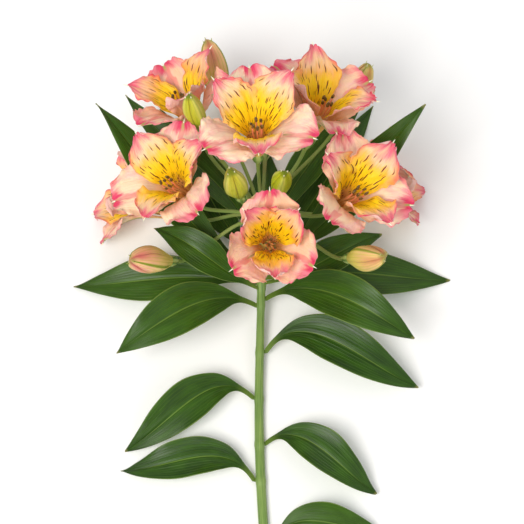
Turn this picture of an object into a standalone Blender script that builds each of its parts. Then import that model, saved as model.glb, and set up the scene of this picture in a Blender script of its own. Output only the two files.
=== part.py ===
"""A cut alstroemeria stem lying on a table.

One leafy stem carries an umbel of open blooms and closed buds above a whorl of
leaves. The stem lies along Y with its cut end towards -Y, and the blooms on the
far end look up and outwards. The table is the plane z = 0. Lengths are in
metres and angles in degrees until they are used.

Every place below is measured from the point on the table under the whorl. An
empty there carries all the pieces, and sets the origin under the middle of the
whole stem.

Each bloom has its own frame: its axis runs out of the throat, its height is
measured along that axis from the foot of the inner tepals, and azimuth 90 is
the bloom's upper side.
"""

import math
import random
from dataclasses import dataclass, replace

import bmesh
import bpy
from mathutils import Matrix, Vector

UP = Vector((0.0, 0.0, 1.0))

# The whorl's place along Y, which puts the origin under the middle of the stem
WHORL_Y = 0.110

# Main stem: it lies flat from the cut end, then rises to the whorl
CUT_END_Y = -0.330
LIFT_OFF_Y = -0.150
WHORL_HEIGHT = 0.028
STEM_SIDES = 8
STEM_RADIUS = 0.0028
STEM_NECK_RADIUS = 0.0022
HUB_RADIUS = 0.0034
HUB_HEIGHT = 0.003
STEM_SWAY = 0.006
STEM_STATIONS = 22
UMBEL_TILT = 35.0

# Rays, pedicels and ovaries
RAY_RADIUS = 0.0012
RAY_SIDES = 6
RAY_STATIONS = 5
RAY_SUNK = 0.001
OVARY_LENGTH = 0.0100
OVARY_TOP = -0.0031
OVARY_RADIUS = 0.0047
BUD_OVARY_RADIUS = 0.0034
OVARY_PROFILE = ((0.3, 0.62), (0.65, 0.92), (1.0, 1.0))

# Thickness of a tepal and of a leaf, and the clearance between two pieces
TEPAL_THICKNESS = 0.0007
LEAF_THICKNESS = 0.0008
CLEARANCE = 0.0003
LEAF_CLEARANCE = 0.0005

# Feet of the three whorls, stacked on the ovary: radius, bottom and top height
OUTER_FOOT = (0.0050, -0.0028, -0.0014)
INNER_FOOT = (0.0036, -0.0011, 0.0003)
STAMEN_FOOT = (0.0019, 0.0006, 0.0018)
FOOT_SIDES = 8

TEPAL_COLUMNS = 4
TEPAL_ROWS = 5
LEAF_COLUMNS = 4
LEAF_ROWS = 7
MIDLINE_STEPS = 60

# Six stamens leave the throat and bend to its lower side
STAMEN_COUNT = 6
STAMEN_SIDES = 3
STAMEN_RADIUS = 0.0005
STAMEN_RING = 0.0010
STAMEN_SPREAD = 0.0030
STAMEN_REACH = 0.028
STAMEN_DROOP = 0.0028
STAMEN_STATIONS = 4
ANTHER_LENGTH = 0.0046
ANTHER_RADIUS = 0.0011
ANTHER_PROFILE = ((0.1, 0.4), (0.5, 1.0), (1.0, 0.3))
STAMEN_START = Vector((0.0, 0.06, 1.0)).normalized()
STAMEN_END = Vector((0.0, 0.15, 1.0)).normalized()


@dataclass
class Tepal:
    """One tepal, as the curve of its midline and its half width along it."""

    length: float
    half_width: float
    widths: tuple
    foot_radius: float
    foot_height: float
    foot_angle: float
    flare: float
    recurve: float
    foot_wrap: float
    blade_wrap: float
    rounding: float
    ruffle: float
    waves: float
    phase: float = 0.0
    sideways: float = 0.0


OUTER_TEPAL = Tepal(
    length=0.048,
    half_width=0.0172,
    widths=((0, 0.16), (0.25, 0.34), (0.5, 0.80), (0.7, 1.0), (0.86, 0.92), (1, 0.60)),
    foot_radius=0.0040,
    foot_height=-0.0021,
    foot_angle=16.0,
    flare=70.0,
    recurve=14.0,
    foot_wrap=0.58,
    blade_wrap=0.30,
    rounding=0.10,
    ruffle=0.0014,
    waves=2.2,
)

INNER_TEPAL = Tepal(
    length=0.050,
    half_width=0.0136,
    widths=((0, 0.14), (0.25, 0.31), (0.5, 0.78), (0.68, 1.0), (0.86, 0.78), (1, 0.24)),
    foot_radius=0.0028,
    foot_height=-0.0004,
    foot_angle=11.0,
    flare=52.0,
    recurve=12.0,
    foot_wrap=0.64,
    blade_wrap=0.42,
    rounding=0.05,
    ruffle=0.0013,
    waves=2.6,
)

OUTER_AZIMUTHS = (90.0, 213.0, 327.0)
INNER_AZIMUTHS = (44.0, 136.0, 270.0)


@dataclass
class Flower:
    """A bloom or bud: where its face lies as seen from the whorl, and its form."""

    name: str
    azimuth: float
    elevation: float
    distance: float
    openness: float = 1.0
    size: float = 1.0
    roll: float = 0.0
    upward: float = 0.75


BLOOMS = (
    Flower("bloom_1", -8, 76, 0.096, 1.00, 1.08, 10),
    Flower("bloom_2", 33, 41, 0.088, 0.95, 1.04, -15),
    Flower("bloom_3", -86, 47, 0.080, 1.00, 1.02, 25),
    Flower("bloom_4", -38, 32, 0.092, 0.92, 1.03, -10),
    Flower("bloom_5", 93, 46, 0.080, 0.90, 1.04, -20),
    Flower("bloom_6", 68, -4, 0.085, 0.95, 0.96, 12, upward=0.45),
    Flower("bloom_7", -76, -4, 0.085, 0.95, 0.96, -14, upward=0.45),
    Flower("bloom_8", 2, -4, 0.088, 0.95, 0.98, 5, upward=0.45),
    Flower("bloom_9", 172, 58, 0.068, 0.70, 0.96, 0),
)

BUDS = (
    Flower("bud_1", -75, 73, 0.058, size=0.86),
    Flower("bud_2", 61, 75, 0.052, size=0.74),
    Flower("bud_3", -44, 53, 0.095, size=0.75),
    Flower("bud_4", -18, 18, 0.104, size=1.05),
    Flower("bud_5", 36, 16, 0.106, size=0.90),
    Flower("bud_6", -118, 22, 0.084, size=1.0),
    Flower("bud_7", 120, 27, 0.083, size=0.95),
)

# How far a flower's foot lies behind its face, and the form of a bud
BLOOM_DEPTH = 0.027
BUD_DEPTH = 0.0216
BUD_LENGTH = 0.036
BUD_RADIUS = 0.0078
BUD_SIDES = 9
BUD_PROFILE = (
    (0.00, 0.46),
    (0.10, 0.62),
    (0.28, 0.88),
    (0.48, 1.00),
    (0.68, 0.88),
    (0.85, 0.56),
    (0.96, 0.26),
    (1.00, 0.10),
)
BUD_LOBE = 0.09


@dataclass
class Leaf:
    """A leaf: its foot on the stem, the way it leaves and meets its tip, its size."""

    name: str
    foot_y: float
    foot_side: float
    start_azimuth: float
    start_rise: float
    tip: tuple
    end_rise: float
    half_width: float
    roll: float = 0.0
    foot_rise: float = 0.0


LEAVES = (
    Leaf("leaf_whorl_1", -0.018, 80, 34, -35, (0.070, 0.092, 0.000), -8, 0.012),
    Leaf("leaf_whorl_2", -0.020, -80, -34, -35, (-0.064, 0.090, 0.000), -8, 0.013, 10),
    Leaf("leaf_whorl_3", -0.030, 90, 80, 0, (0.114, -0.026, 0.000), -15, 0.014, -10),
    Leaf("leaf_whorl_4", -0.033, -90, -80, 0, (-0.114, -0.030, 0.000), -15, 0.014, 10),
    Leaf("leaf_whorl_5", -0.042, 90, 75, 45, (0.088, -0.076, 0.036), -35, 0.014, -15),
    Leaf("leaf_whorl_6", -0.046, -90, -80, 45, (-0.084, -0.084, 0.034), -35, 0.014, 15),
    Leaf("leaf_whorl_7", -0.013, 75, 12, -14, (0.068, 0.100, 0.028), 8, 0.011, 10),
    Leaf("leaf_whorl_8", -0.014, -75, -14, -14, (-0.084, 0.086, 0.028), 8, 0.011, 10),
    Leaf("leaf_whorl_9", -0.025, 80, 57, 7, (0.095, 0.051, 0.085), 30, 0.0125, 0, 20),
    Leaf("leaf_whorl_10", -0.028, -80, -60, 7, (-0.097, 0.054, 0.080), 30, 0.0120, 0, 20),
    Leaf("leaf_whorl_11", -0.034, 80, 87, 21, (0.072, -0.004, 0.020), -20, 0.0108, -8, 45),
    Leaf("leaf_whorl_12", -0.037, -80, -80, 35, (-0.064, -0.004, 0.030), -30, 0.0105, 8, 45),
    Leaf("leaf_whorl_13", -0.022, 0, 4, -28, (0.004, 0.062, 0.000), 0, 0.0125, 0, -90),
    Leaf("leaf_stem_1", -0.074, 80, 38, 32, (0.092, -0.096, 0.006), -30, 0.0135, -12),
    Leaf("leaf_stem_2", -0.102, -80, -52, 26, (-0.080, -0.134, 0.003), -25, 0.0125, 14),
    Leaf("leaf_stem_3", -0.130, 80, 56, 34, (0.066, -0.160, 0.004), -35, 0.0120, 6),
    Leaf("leaf_stem_4", -0.152, -80, -34, 22, (-0.082, -0.146, 0.003), -20, 0.0120, -8),
    Leaf("leaf_stem_5", -0.188, 80, 36, 26, (0.070, -0.182, 0.002), -25, 0.0110, -14),
    Leaf("leaf_stem_6", -0.212, -80, -58, 18, (-0.046, -0.236, 0.002), -15, 0.0095, 10),
)

LEAF_WIDTHS = (
    (0, 0.10),
    (0.12, 0.16),
    (0.3, 0.68),
    (0.5, 1.0),
    (0.7, 0.86),
    (0.88, 0.42),
    (1, 0.03),
)
LEAF_CHANNEL = 0.22
LEAF_WAVE = 0.0012
LEAF_REACH = 0.42
LEAF_STEP = 0.01


def clear_scene():
    """Removes the objects of the scene that the script starts in."""
    for obj in list(bpy.data.objects):
        bpy.data.objects.remove(obj, do_unlink=True)


def finish(name, color, roughness):
    """A plain material of one colour."""
    material = bpy.data.materials.new(name)
    material.use_nodes = True
    shader = material.node_tree.nodes["Principled BSDF"]
    shader.inputs["Base Color"].default_value = (*color, 1.0)
    shader.inputs["Roughness"].default_value = roughness
    shader.inputs["Metallic"].default_value = 0.0
    return material


def smoothstep(low, high, value):
    """0 below low, 1 above high, and a smooth ramp between."""
    share = min(max((value - low) / (high - low), 0.0), 1.0)
    return share * share * (3.0 - 2.0 * share)


def along(stations, position):
    """The value at a position between stations of (position, value), smoothly."""
    for (start, first), (end, last) in zip(stations, stations[1:]):
        if position <= end:
            return first + (last - first) * smoothstep(start, end, position)
    return stations[-1][1]


def direction(azimuth, elevation):
    """A unit vector; azimuth 0 is +Y and turns towards +X."""
    turn = math.radians(azimuth)
    lift = math.radians(elevation)
    level = math.cos(lift)
    return Vector((math.sin(turn) * level, math.cos(turn) * level, math.sin(lift)))


def bezier(start, start_way, end, end_way, share, reach=0.38):
    """A point on the cubic that leaves start along start_way and ends along end_way."""
    handle = (end - start).length * reach
    first = start + start_way * handle
    last = end - end_way * handle
    rest = 1.0 - share
    return (
        start * rest**3
        + first * (3.0 * rest * rest * share)
        + last * (3.0 * rest * share * share)
        + end * share**3
    )


def object_from(name, mesh_data):
    """Puts a bmesh into the scene as an object."""
    bmesh.ops.recalc_face_normals(mesh_data, faces=mesh_data.faces)
    mesh = bpy.data.meshes.new(name)
    mesh_data.to_mesh(mesh)
    mesh_data.free()
    obj = bpy.data.objects.new(name, mesh)
    bpy.context.scene.collection.objects.link(obj)
    return obj


def rings_solid(name, rings):
    """A closed solid through rings of points, each with the same count."""
    mesh = bmesh.new()
    rows = [[mesh.verts.new(point) for point in ring] for ring in rings]
    for row, following in zip(rows, rows[1:]):
        for corner in range(len(row)):
            after = (corner + 1) % len(row)
            mesh.faces.new((row[corner], row[after], following[after], following[corner]))
    mesh.faces.new(reversed(rows[0]))
    mesh.faces.new(rows[-1])
    return object_from(name, mesh)


def tube(name, centres, radii, sides, up=UP):
    """A closed tube through the centres, with one flat of its outline downwards."""
    rings = []
    for index, centre in enumerate(centres):
        before = centres[max(index - 1, 0)]
        after = centres[min(index + 1, len(centres) - 1)]
        ahead = (after - before).normalized()
        side = ahead.cross(up).normalized()
        up = side.cross(ahead)
        angles = [math.tau * (corner + 0.5) / sides for corner in range(sides)]
        rings.append(
            [
                centre + (side * math.cos(angle) + up * math.sin(angle)) * radii[index]
                for angle in angles
            ]
        )
    return rings_solid(name, rings)


def disc(name, frame, foot, sides=FOOT_SIDES):
    """A short cylinder across a bloom's axis, given as radius, bottom and top."""
    radius, bottom, top = foot
    rings = []
    for height in (bottom, top):
        angles = [math.tau * corner / sides for corner in range(sides)]
        rings.append(
            [
                frame @ Vector((radius * math.cos(angle), radius * math.sin(angle), height))
                for angle in angles
            ]
        )
    return rings_solid(name, rings)


def sheet(name, point_at, columns, rows, thickness):
    """A thin closed solid along the surface point_at(u, v), u from -1 to 1."""
    mesh = bmesh.new()
    grid = [
        [
            mesh.verts.new(point_at(2.0 * column / columns - 1.0, row / rows))
            for column in range(columns + 1)
        ]
        for row in range(rows + 1)
    ]
    for row in range(rows):
        for column in range(columns):
            near_left = grid[row][column]
            near_right = grid[row][column + 1]
            far_right = grid[row + 1][column + 1]
            far_left = grid[row + 1][column]
            if column >= columns / 2:
                mesh.faces.new((near_left, near_right, far_right))
                mesh.faces.new((near_left, far_right, far_left))
            else:
                mesh.faces.new((near_left, near_right, far_left))
                mesh.faces.new((near_right, far_right, far_left))
    obj = object_from(name, mesh)
    solidify = obj.modifiers.new("Thickness", "SOLIDIFY")
    solidify.thickness = thickness
    solidify.offset = 0.0
    solidify.use_even_offset = False
    return obj


def applied(name, obj, origin, material):
    """The object's evaluated shape as one plain mesh, with its origin at a frame."""
    graph = bpy.context.evaluated_depsgraph_get()
    mesh = bpy.data.meshes.new_from_object(obj.evaluated_get(graph))
    mesh.name = name
    mesh.transform(origin.inverted())
    mesh.materials.clear()
    mesh.materials.append(material)
    result = bpy.data.objects.new(name, mesh)
    bpy.context.scene.collection.objects.link(result)
    result.matrix_world = origin
    return result


def joined(name, pieces, origin, material):
    """One body from pieces that run into each other."""
    first, others = pieces[0], pieces[1:]
    collection = bpy.data.collections.new(name + "_pieces")
    bpy.context.scene.collection.children.link(collection)
    for piece in others:
        bpy.context.scene.collection.objects.unlink(piece)
        collection.objects.link(piece)
    union = first.modifiers.new("Union", "BOOLEAN")
    union.operation = "UNION"
    union.operand_type = "COLLECTION"
    union.collection = collection
    union.solver = "EXACT"
    bpy.context.view_layer.update()
    result = applied(name, first, origin, material)
    for piece in pieces:
        bpy.data.objects.remove(piece, do_unlink=True)
    bpy.data.collections.remove(collection)
    return result


def on_table(point, thickness):
    """The point, raised where it would bring a sheet below the table."""
    return Vector((point.x, point.y, max(point.z, thickness / 2.0)))


def stem_centre(share):
    """The middle of the main stem from the cut end (0) to the whorl (1)."""
    y = CUT_END_Y * (1.0 - share)
    lying = STEM_RADIUS * math.cos(math.pi / STEM_SIDES)
    climb = max(0.0, (y - LIFT_OFF_Y) / -LIFT_OFF_Y)
    z = lying + (WHORL_HEIGHT - lying) * climb**3
    return Vector((STEM_SWAY * math.sin(math.tau * share) * (1.0 - share), y, z))


def stem_radius(share):
    """The stem is even where it lies, thins towards the whorl and flares at its hub."""
    lying = 1.0 - LIFT_OFF_Y / CUT_END_Y
    radius = STEM_RADIUS + (STEM_NECK_RADIUS - STEM_RADIUS) * smoothstep(lying, 1.0, share)
    flare = max(0.0, share * STEM_STATIONS - (STEM_STATIONS - 1))
    return radius + (HUB_RADIUS - radius) * flare


def whorl_centre():
    """The upper end of the main stem, where the rays start."""
    return stem_centre(1.0)


def flower_frame(flower, depth):
    """The bloom's frame, with its origin at the foot of the inner tepals."""
    way = direction(flower.azimuth, flower.elevation)
    axis = (way + UP * flower.upward).normalized()
    face = whorl_centre() + way * flower.distance
    upper = Vector((0.0, 1.0, 0.0)) * 0.5 + UP
    upper = (upper - axis * upper.dot(axis)).normalized()
    side = upper.cross(axis)
    frame = Matrix((side, upper, axis)).transposed().to_4x4()
    frame.translation = face - axis * depth
    return frame @ Matrix.Rotation(math.radians(flower.roll), 4, "Z")


def midline(tepal):
    """Radius, height and slope from the axis at even steps along a tepal."""
    radius, height = tepal.foot_radius, tepal.foot_height
    step = tepal.length / MIDLINE_STEPS
    stations = []
    for index in range(MIDLINE_STEPS + 1):
        share = index / MIDLINE_STEPS
        slope = tepal.foot_angle
        slope += (tepal.flare - tepal.foot_angle) * smoothstep(0.18, 0.80, share)
        slope += tepal.recurve * smoothstep(0.75, 1.0, share)
        slope = math.radians(slope)
        stations.append((radius, height, slope))
        radius += step * math.sin(slope)
        height += step * math.cos(slope)
    return stations


def tepal_surface(tepal, azimuth):
    """The tepal's middle surface in the bloom's frame, as a function of (u, v)."""
    stations = midline(tepal)
    turn = Matrix.Rotation(math.radians(azimuth), 3, "Z")

    def point_at(u, v):
        share = v - tepal.rounding * v**3 * abs(u) ** 2.4
        place = share * MIDLINE_STEPS
        index = min(int(place), MIDLINE_STEPS - 1)
        blend = place - index
        radius, height, slope = (
            first + (last - first) * blend
            for first, last in zip(stations[index], stations[index + 1])
        )
        half_width = tepal.half_width * along(tepal.widths, v)
        blade = smoothstep(0.1, 0.6, v)
        wrap = tepal.foot_wrap + (tepal.blade_wrap - tepal.foot_wrap) * blade
        bow = half_width / wrap
        across = bow * math.sin(wrap * u) + tepal.sideways * v * v
        inward = bow * (1.0 - math.cos(wrap * u))
        side = 0.0 if u < 0.0 else 2.1
        wave = math.sin(math.tau * tepal.waves * v + tepal.phase + side)
        inward += tepal.ruffle * smoothstep(0.3, 0.7, v) * abs(u) ** 1.5 * wave
        return turn @ Vector(
            (
                radius - inward * math.cos(slope),
                across,
                height + inward * math.sin(slope),
            )
        )

    return point_at


def whorl_of_tepals(flower, frame, kind, azimuths, foot, draws):
    """Three tepals on their foot, joined in one body."""
    pieces = []
    for azimuth in azimuths:
        tepal = replace(
            kind,
            length=kind.length * flower.size * draws.uniform(0.97, 1.03),
            half_width=kind.half_width * flower.size * draws.uniform(0.95, 1.04),
            flare=kind.flare * flower.openness + draws.uniform(-3.0, 3.0),
            phase=draws.uniform(0.0, math.tau),
            sideways=draws.uniform(-0.0015, 0.0015),
        )
        surface = tepal_surface(tepal, azimuth + draws.uniform(-2.0, 2.0))

        def resting(u, v, surface=surface):
            return on_table(frame @ surface(u, v), TEPAL_THICKNESS)

        pieces.append(sheet("tepal", resting, TEPAL_COLUMNS, TEPAL_ROWS, TEPAL_THICKNESS))
    return [disc("foot", frame, foot), *pieces]


def stamens(flower, frame, draws):
    """Six stamens on their own small foot, each with its anther."""
    reach = STAMEN_REACH * (0.75 + 0.25 * flower.openness) * flower.size
    pieces = [disc("foot", frame, STAMEN_FOOT)]
    root_height = (STAMEN_FOOT[1] + STAMEN_FOOT[2]) / 2.0
    for index in range(STAMEN_COUNT):
        turn = math.tau * (index + 0.5) / STAMEN_COUNT
        outwards = Vector((math.cos(turn), math.sin(turn), 0.0))
        root = outwards * STAMEN_RING + UP * root_height
        tip = outwards * STAMEN_SPREAD + UP * reach * draws.uniform(0.82, 1.0)
        tip.y -= STAMEN_DROOP * flower.openness
        path = [
            frame @ bezier(root, STAMEN_START, tip, STAMEN_END, step / STAMEN_STATIONS, 0.4)
            for step in range(STAMEN_STATIONS + 1)
        ]
        radii = [STAMEN_RADIUS] * len(path)
        way = (path[-1] - path[-2]).normalized()
        for share, width in ANTHER_PROFILE:
            path.append(path[STAMEN_STATIONS] + way * (ANTHER_LENGTH * share))
            radii.append(ANTHER_RADIUS * width)
        pieces.append(tube("stamen", path, radii, STAMEN_SIDES))
    return pieces


def make_bloom(flower, materials, draws):
    """The three nodes of an open bloom."""
    frame = flower_frame(flower, BLOOM_DEPTH * flower.size)
    outer = whorl_of_tepals(flower, frame, OUTER_TEPAL, OUTER_AZIMUTHS, OUTER_FOOT, draws)
    joined(flower.name + "_outer_tepals", outer, frame, materials["outer"])
    inner = whorl_of_tepals(flower, frame, INNER_TEPAL, INNER_AZIMUTHS, INNER_FOOT, draws)
    joined(flower.name + "_inner_tepals", inner, frame, materials["inner"])
    joined(flower.name + "_stamens", stamens(flower, frame, draws), frame, materials["stamen"])


def make_bud(flower, materials):
    """A closed bud: three outer tepals folded over each other round the rest."""
    frame = flower_frame(flower, BUD_DEPTH * flower.size)
    rings = []
    for share, width in BUD_PROFILE:
        height = OVARY_TOP + CLEARANCE + share * BUD_LENGTH * flower.size
        ring = []
        for corner in range(BUD_SIDES):
            angle = math.tau * corner / BUD_SIDES
            lobe = 1.0 + BUD_LOBE * math.cos(3.0 * angle) * smoothstep(0.0, 0.4, share)
            radius = BUD_RADIUS * flower.size * width * lobe
            ring.append(
                frame @ Vector((radius * math.cos(angle), radius * math.sin(angle), height))
            )
        rings.append(ring)
    bud = rings_solid("closed_bud", rings)
    applied(flower.name, bud, frame, materials["bud"])
    bpy.data.objects.remove(bud, do_unlink=True)


def ray(flower, frame, ovary_radius):
    """The flower's stalk from the whorl up to and with its ribbed ovary."""
    axis = frame.to_3x3() @ UP
    top = frame @ Vector((0.0, 0.0, OVARY_TOP))
    foot = top - axis * OVARY_LENGTH * flower.size
    way = direction(flower.azimuth, flower.elevation)
    umbel_axis = direction(0.0, UMBEL_TILT)
    start_way = (umbel_axis + way).normalized()
    start = whorl_centre() - umbel_axis * RAY_SUNK
    path = [
        bezier(start, start_way, foot, axis, step / RAY_STATIONS)
        for step in range(RAY_STATIONS + 1)
    ]
    radii = [RAY_RADIUS] * (RAY_STATIONS + 1)
    for share, width in OVARY_PROFILE:
        path.append(foot.lerp(top, share))
        radii.append(ovary_radius * width)
    return tube("ray", path, radii, RAY_SIDES)


def make_stem(materials):
    """Main stem, rays and ovaries in one body, because they grow as one."""
    shares = [step / STEM_STATIONS for step in range(STEM_STATIONS + 1)]
    centres = [stem_centre(share) for share in shares]
    radii = [stem_radius(share) for share in shares]
    centres.append(centres[-1] + direction(0.0, UMBEL_TILT) * HUB_HEIGHT)
    radii.append(STEM_NECK_RADIUS)
    pieces = [tube("main_stem", centres, radii, STEM_SIDES)]
    for bloom in BLOOMS:
        frame = flower_frame(bloom, BLOOM_DEPTH * bloom.size)
        pieces.append(ray(bloom, frame, OVARY_RADIUS))
    for bud in BUDS:
        frame = flower_frame(bud, BUD_DEPTH * bud.size)
        pieces.append(ray(bud, frame, BUD_OVARY_RADIUS))
    joined("stem", pieces, Matrix.Identity(4), materials["stem"])


def leaf_surface(leaf):
    """The leaf's middle surface, as a function of (u, v)."""
    share = 1.0 - leaf.foot_y / CUT_END_Y
    outwards = direction(leaf.foot_side, leaf.foot_rise)
    start_way = direction(leaf.start_azimuth, leaf.start_rise)
    across_foot = start_way.cross(UP).normalized()
    over_foot = across_foot.cross(start_way)
    stalk = leaf.half_width * LEAF_WIDTHS[0][1]
    clear = stem_radius(share) * math.cos(math.pi / STEM_SIDES) + LEAF_CLEARANCE
    clear += stalk * abs(across_foot.dot(outwards))
    clear += LEAF_THICKNESS / 2.0 * abs(over_foot.dot(outwards))
    foot = stem_centre(share) + outwards * clear
    tip = Vector(leaf.tip)
    heading = tip - foot
    tip_azimuth = math.degrees(math.atan2(heading.x, heading.y))
    end_way = direction(tip_azimuth, leaf.end_rise)

    def middle(v):
        return bezier(foot, start_way, tip, end_way, v, LEAF_REACH)

    def point_at(u, v):
        after = middle(min(v + LEAF_STEP, 1.0))
        ahead = (after - middle(max(v - LEAF_STEP, 0.0))).normalized()
        side = ahead.cross(UP).normalized()
        normal = side.cross(ahead)
        turn = math.radians(leaf.roll) * v
        across = side * math.cos(turn) + normal * math.sin(turn)
        over = normal * math.cos(turn) - side * math.sin(turn)
        half_width = leaf.half_width * along(LEAF_WIDTHS, v)
        wave = LEAF_WAVE * smoothstep(0.2, 0.5, v) * math.sin(9.0 * v + 2.0 * u)
        lift = LEAF_CHANNEL * half_width * u * u + wave * abs(u) ** 1.5
        point = middle(v) + across * (half_width * u) + over * lift
        return on_table(point, LEAF_THICKNESS)

    return point_at


def make_leaf(leaf, materials):
    """One leaf, with its origin at its foot."""
    surface = leaf_surface(leaf)
    blade = sheet("blade", surface, LEAF_COLUMNS, LEAF_ROWS, LEAF_THICKNESS)
    applied(leaf.name, blade, Matrix.Translation(surface(0.0, 0.0)), materials["leaf"])
    bpy.data.objects.remove(blade, do_unlink=True)


def carry_all():
    """Parents every piece to one empty on the table under the whorl."""
    whorl = bpy.data.objects.new("under_the_whorl", None)
    bpy.context.scene.collection.objects.link(whorl)
    whorl.location = (0.0, WHORL_Y, 0.0)
    for piece in list(bpy.data.objects):
        if piece.type == "MESH":
            piece.parent = whorl
    bpy.context.view_layer.update()


def main():
    clear_scene()
    materials = {
        "stem": finish("stem_green", (0.20, 0.34, 0.09), 0.45),
        "outer": finish("outer_tepal_pink", (0.90, 0.60, 0.56), 0.50),
        "inner": finish("inner_tepal_yellow", (0.93, 0.62, 0.22), 0.50),
        "stamen": finish("stamen_peach", (0.80, 0.50, 0.26), 0.50),
        "bud": finish("bud_yellow_green", (0.62, 0.64, 0.28), 0.45),
        "leaf": finish("leaf_green", (0.05, 0.16, 0.04), 0.35),
    }
    draws = random.Random(7)
    make_stem(materials)
    for flower in BLOOMS:
        make_bloom(flower, materials, draws)
    for flower in BUDS:
        make_bud(flower, materials)
    for leaf in LEAVES:
        make_leaf(leaf, materials)
    carry_all()


main()
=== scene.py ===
# %% [markdown]
# # An alstroemeria stem
#
# This lesson dresses a plain, measured model of one cut alstroemeria stem. The
# stem lies on a table: a smooth green stalk with leaves along it, a whorl of
# leaves near its top, and an umbel of rays that each carry a bloom or a bud.
#
# The plain model is the frame. It already says where every piece is, so each
# finer piece below is built from the same few sizes and ends up in the same
# place. A cell that builds something says first what it is on the real flower.

# %% Load the frame
import math
import random
from dataclasses import dataclass, replace

import bpy
import numpy as np
from mathutils import Matrix, Vector


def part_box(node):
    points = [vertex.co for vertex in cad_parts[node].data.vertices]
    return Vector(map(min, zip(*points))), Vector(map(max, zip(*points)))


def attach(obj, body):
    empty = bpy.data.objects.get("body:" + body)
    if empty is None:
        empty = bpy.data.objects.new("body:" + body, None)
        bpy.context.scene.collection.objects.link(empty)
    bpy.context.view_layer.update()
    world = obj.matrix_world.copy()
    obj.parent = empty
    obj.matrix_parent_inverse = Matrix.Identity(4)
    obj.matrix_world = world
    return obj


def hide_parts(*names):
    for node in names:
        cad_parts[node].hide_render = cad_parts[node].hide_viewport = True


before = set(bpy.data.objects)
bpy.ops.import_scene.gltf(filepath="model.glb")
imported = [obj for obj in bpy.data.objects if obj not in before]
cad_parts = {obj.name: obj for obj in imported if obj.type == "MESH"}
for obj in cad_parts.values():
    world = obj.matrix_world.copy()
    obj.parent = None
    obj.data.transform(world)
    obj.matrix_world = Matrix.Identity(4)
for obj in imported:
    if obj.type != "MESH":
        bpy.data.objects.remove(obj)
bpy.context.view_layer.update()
print("pieces in the frame:", len(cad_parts))

# %% [markdown]
# ## Where the stem lies
#
# The stem lies along Y, with its cut end towards -Y. Everything is measured
# from the whorl, the place where the rays and the upper leaves leave the stalk.
# The frame gives the cut end, and the stalk's length leads from it to the
# whorl, so nothing here has to be typed in twice.

# %% Sizes of the stalk
UP = Vector((0.0, 0.0, 1.0))
STEM_LENGTH = 0.330
LIFT_OFF = 0.150
WHORL_HEIGHT = 0.028
STEM_SIDES = 8
STEM_STATIONS = 22
STEM_RADIUS = 0.0028
STEM_NECK_RADIUS = 0.0022
HUB_RADIUS = 0.0034
HUB_HEIGHT = 0.003
STEM_SWAY = 0.006
UMBEL_TILT = 35.0
WHORL_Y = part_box("stem")[0].y + STEM_LENGTH
print("the whorl is at y =", round(WHORL_Y, 4))

# %% [markdown]
# ## A few curves
#
# Petals, leaves and stalks are all drawn with the same handful of curves: a
# soft step, a hump, a smooth line through some stations, a direction from two
# angles and a cubic that leaves one point and arrives at another. Most work on
# whole numpy arrays, so a petal's thousands of points are made in one go.


# %% Curves
def soft_step(low, high, value):
    """0 below low, 1 above high, and a smooth ramp between."""
    share = np.clip((value - low) / (high - low), 0.0, 1.0)
    return share * share * (3.0 - 2.0 * share)


def hump(value, width):
    """1 at zero, and a smooth fall to nothing on both sides."""
    return np.exp(-((value / width) ** 2))


def smooth_line(stations, position):
    """A smooth curve through stations of (position, value)."""
    places, values = np.array(stations, float).T
    slopes = np.gradient(values, places)
    index = np.clip(np.searchsorted(places, position) - 1, 0, len(places) - 2)
    step = places[index + 1] - places[index]
    t = (position - places[index]) / step
    start = (1 + 2 * t) * (1 - t) ** 2 * values[index] + t * (1 - t) ** 2 * step * slopes[index]
    end = t * t * (3 - 2 * t) * values[index + 1] + t * t * (t - 1) * step * slopes[index + 1]
    return start + end


def direction(azimuth, elevation):
    """A unit vector; azimuth 0 is +Y and turns towards +X."""
    turn, lift = math.radians(azimuth), math.radians(elevation)
    level = math.cos(lift)
    return Vector((math.sin(turn) * level, math.cos(turn) * level, math.sin(lift)))


def cubic(start, start_way, end, end_way, share, reach=0.38):
    """Points of the cubic that leaves start along start_way and ends along end_way."""
    handle = (end - start).length * reach
    corners = np.array([start, start + start_way * handle, end - end_way * handle, end])
    t = np.asarray(share, float)[..., None]
    weights = ((1 - t) ** 3, 3 * t * (1 - t) ** 2, 3 * t * t * (1 - t), t**3)
    return sum(weight * corner for weight, corner in zip(weights, corners))


def stem_centre(share):
    """The middle of the main stem from the cut end (0) to the whorl (1)."""
    y = -STEM_LENGTH * (1.0 - share)
    lying = STEM_RADIUS * math.cos(math.pi / STEM_SIDES)
    climb = max(0.0, (y + LIFT_OFF) / LIFT_OFF)
    z = lying + (WHORL_HEIGHT - lying) * climb**3
    return Vector((STEM_SWAY * math.sin(math.tau * share) * (1.0 - share), y + WHORL_Y, z))


def stem_radius(share):
    """The stem is even where it lies, thins towards the whorl and flares at its hub."""
    radius = STEM_RADIUS
    radius += (STEM_NECK_RADIUS - STEM_RADIUS) * float(soft_step(1 - LIFT_OFF / STEM_LENGTH, 1, share))
    flare = max(0.0, share * STEM_STATIONS - (STEM_STATIONS - 1))
    return radius + (HUB_RADIUS - radius) * flare


whorl = stem_centre(1.0)
print("whorl", [round(value, 4) for value in whorl])

# %% [markdown]
# ## The flowers' places
#
# An umbel is a bunch of stalks that all start at one point, like the ribs of an
# umbrella. Each flower is given by the direction and distance of its face from
# the whorl, and by how far it has opened. `upward` turns a flower's face
# towards the light. These are the frame's own numbers: a bloom built from them
# lands on its plain solid.


# %% Blooms and buds
@dataclass
class Flower:
    """A bloom or bud: where its face lies as seen from the whorl, and its form."""

    name: str
    azimuth: float
    elevation: float
    distance: float
    openness: float = 1.0
    size: float = 1.0
    roll: float = 0.0
    upward: float = 0.75


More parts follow.
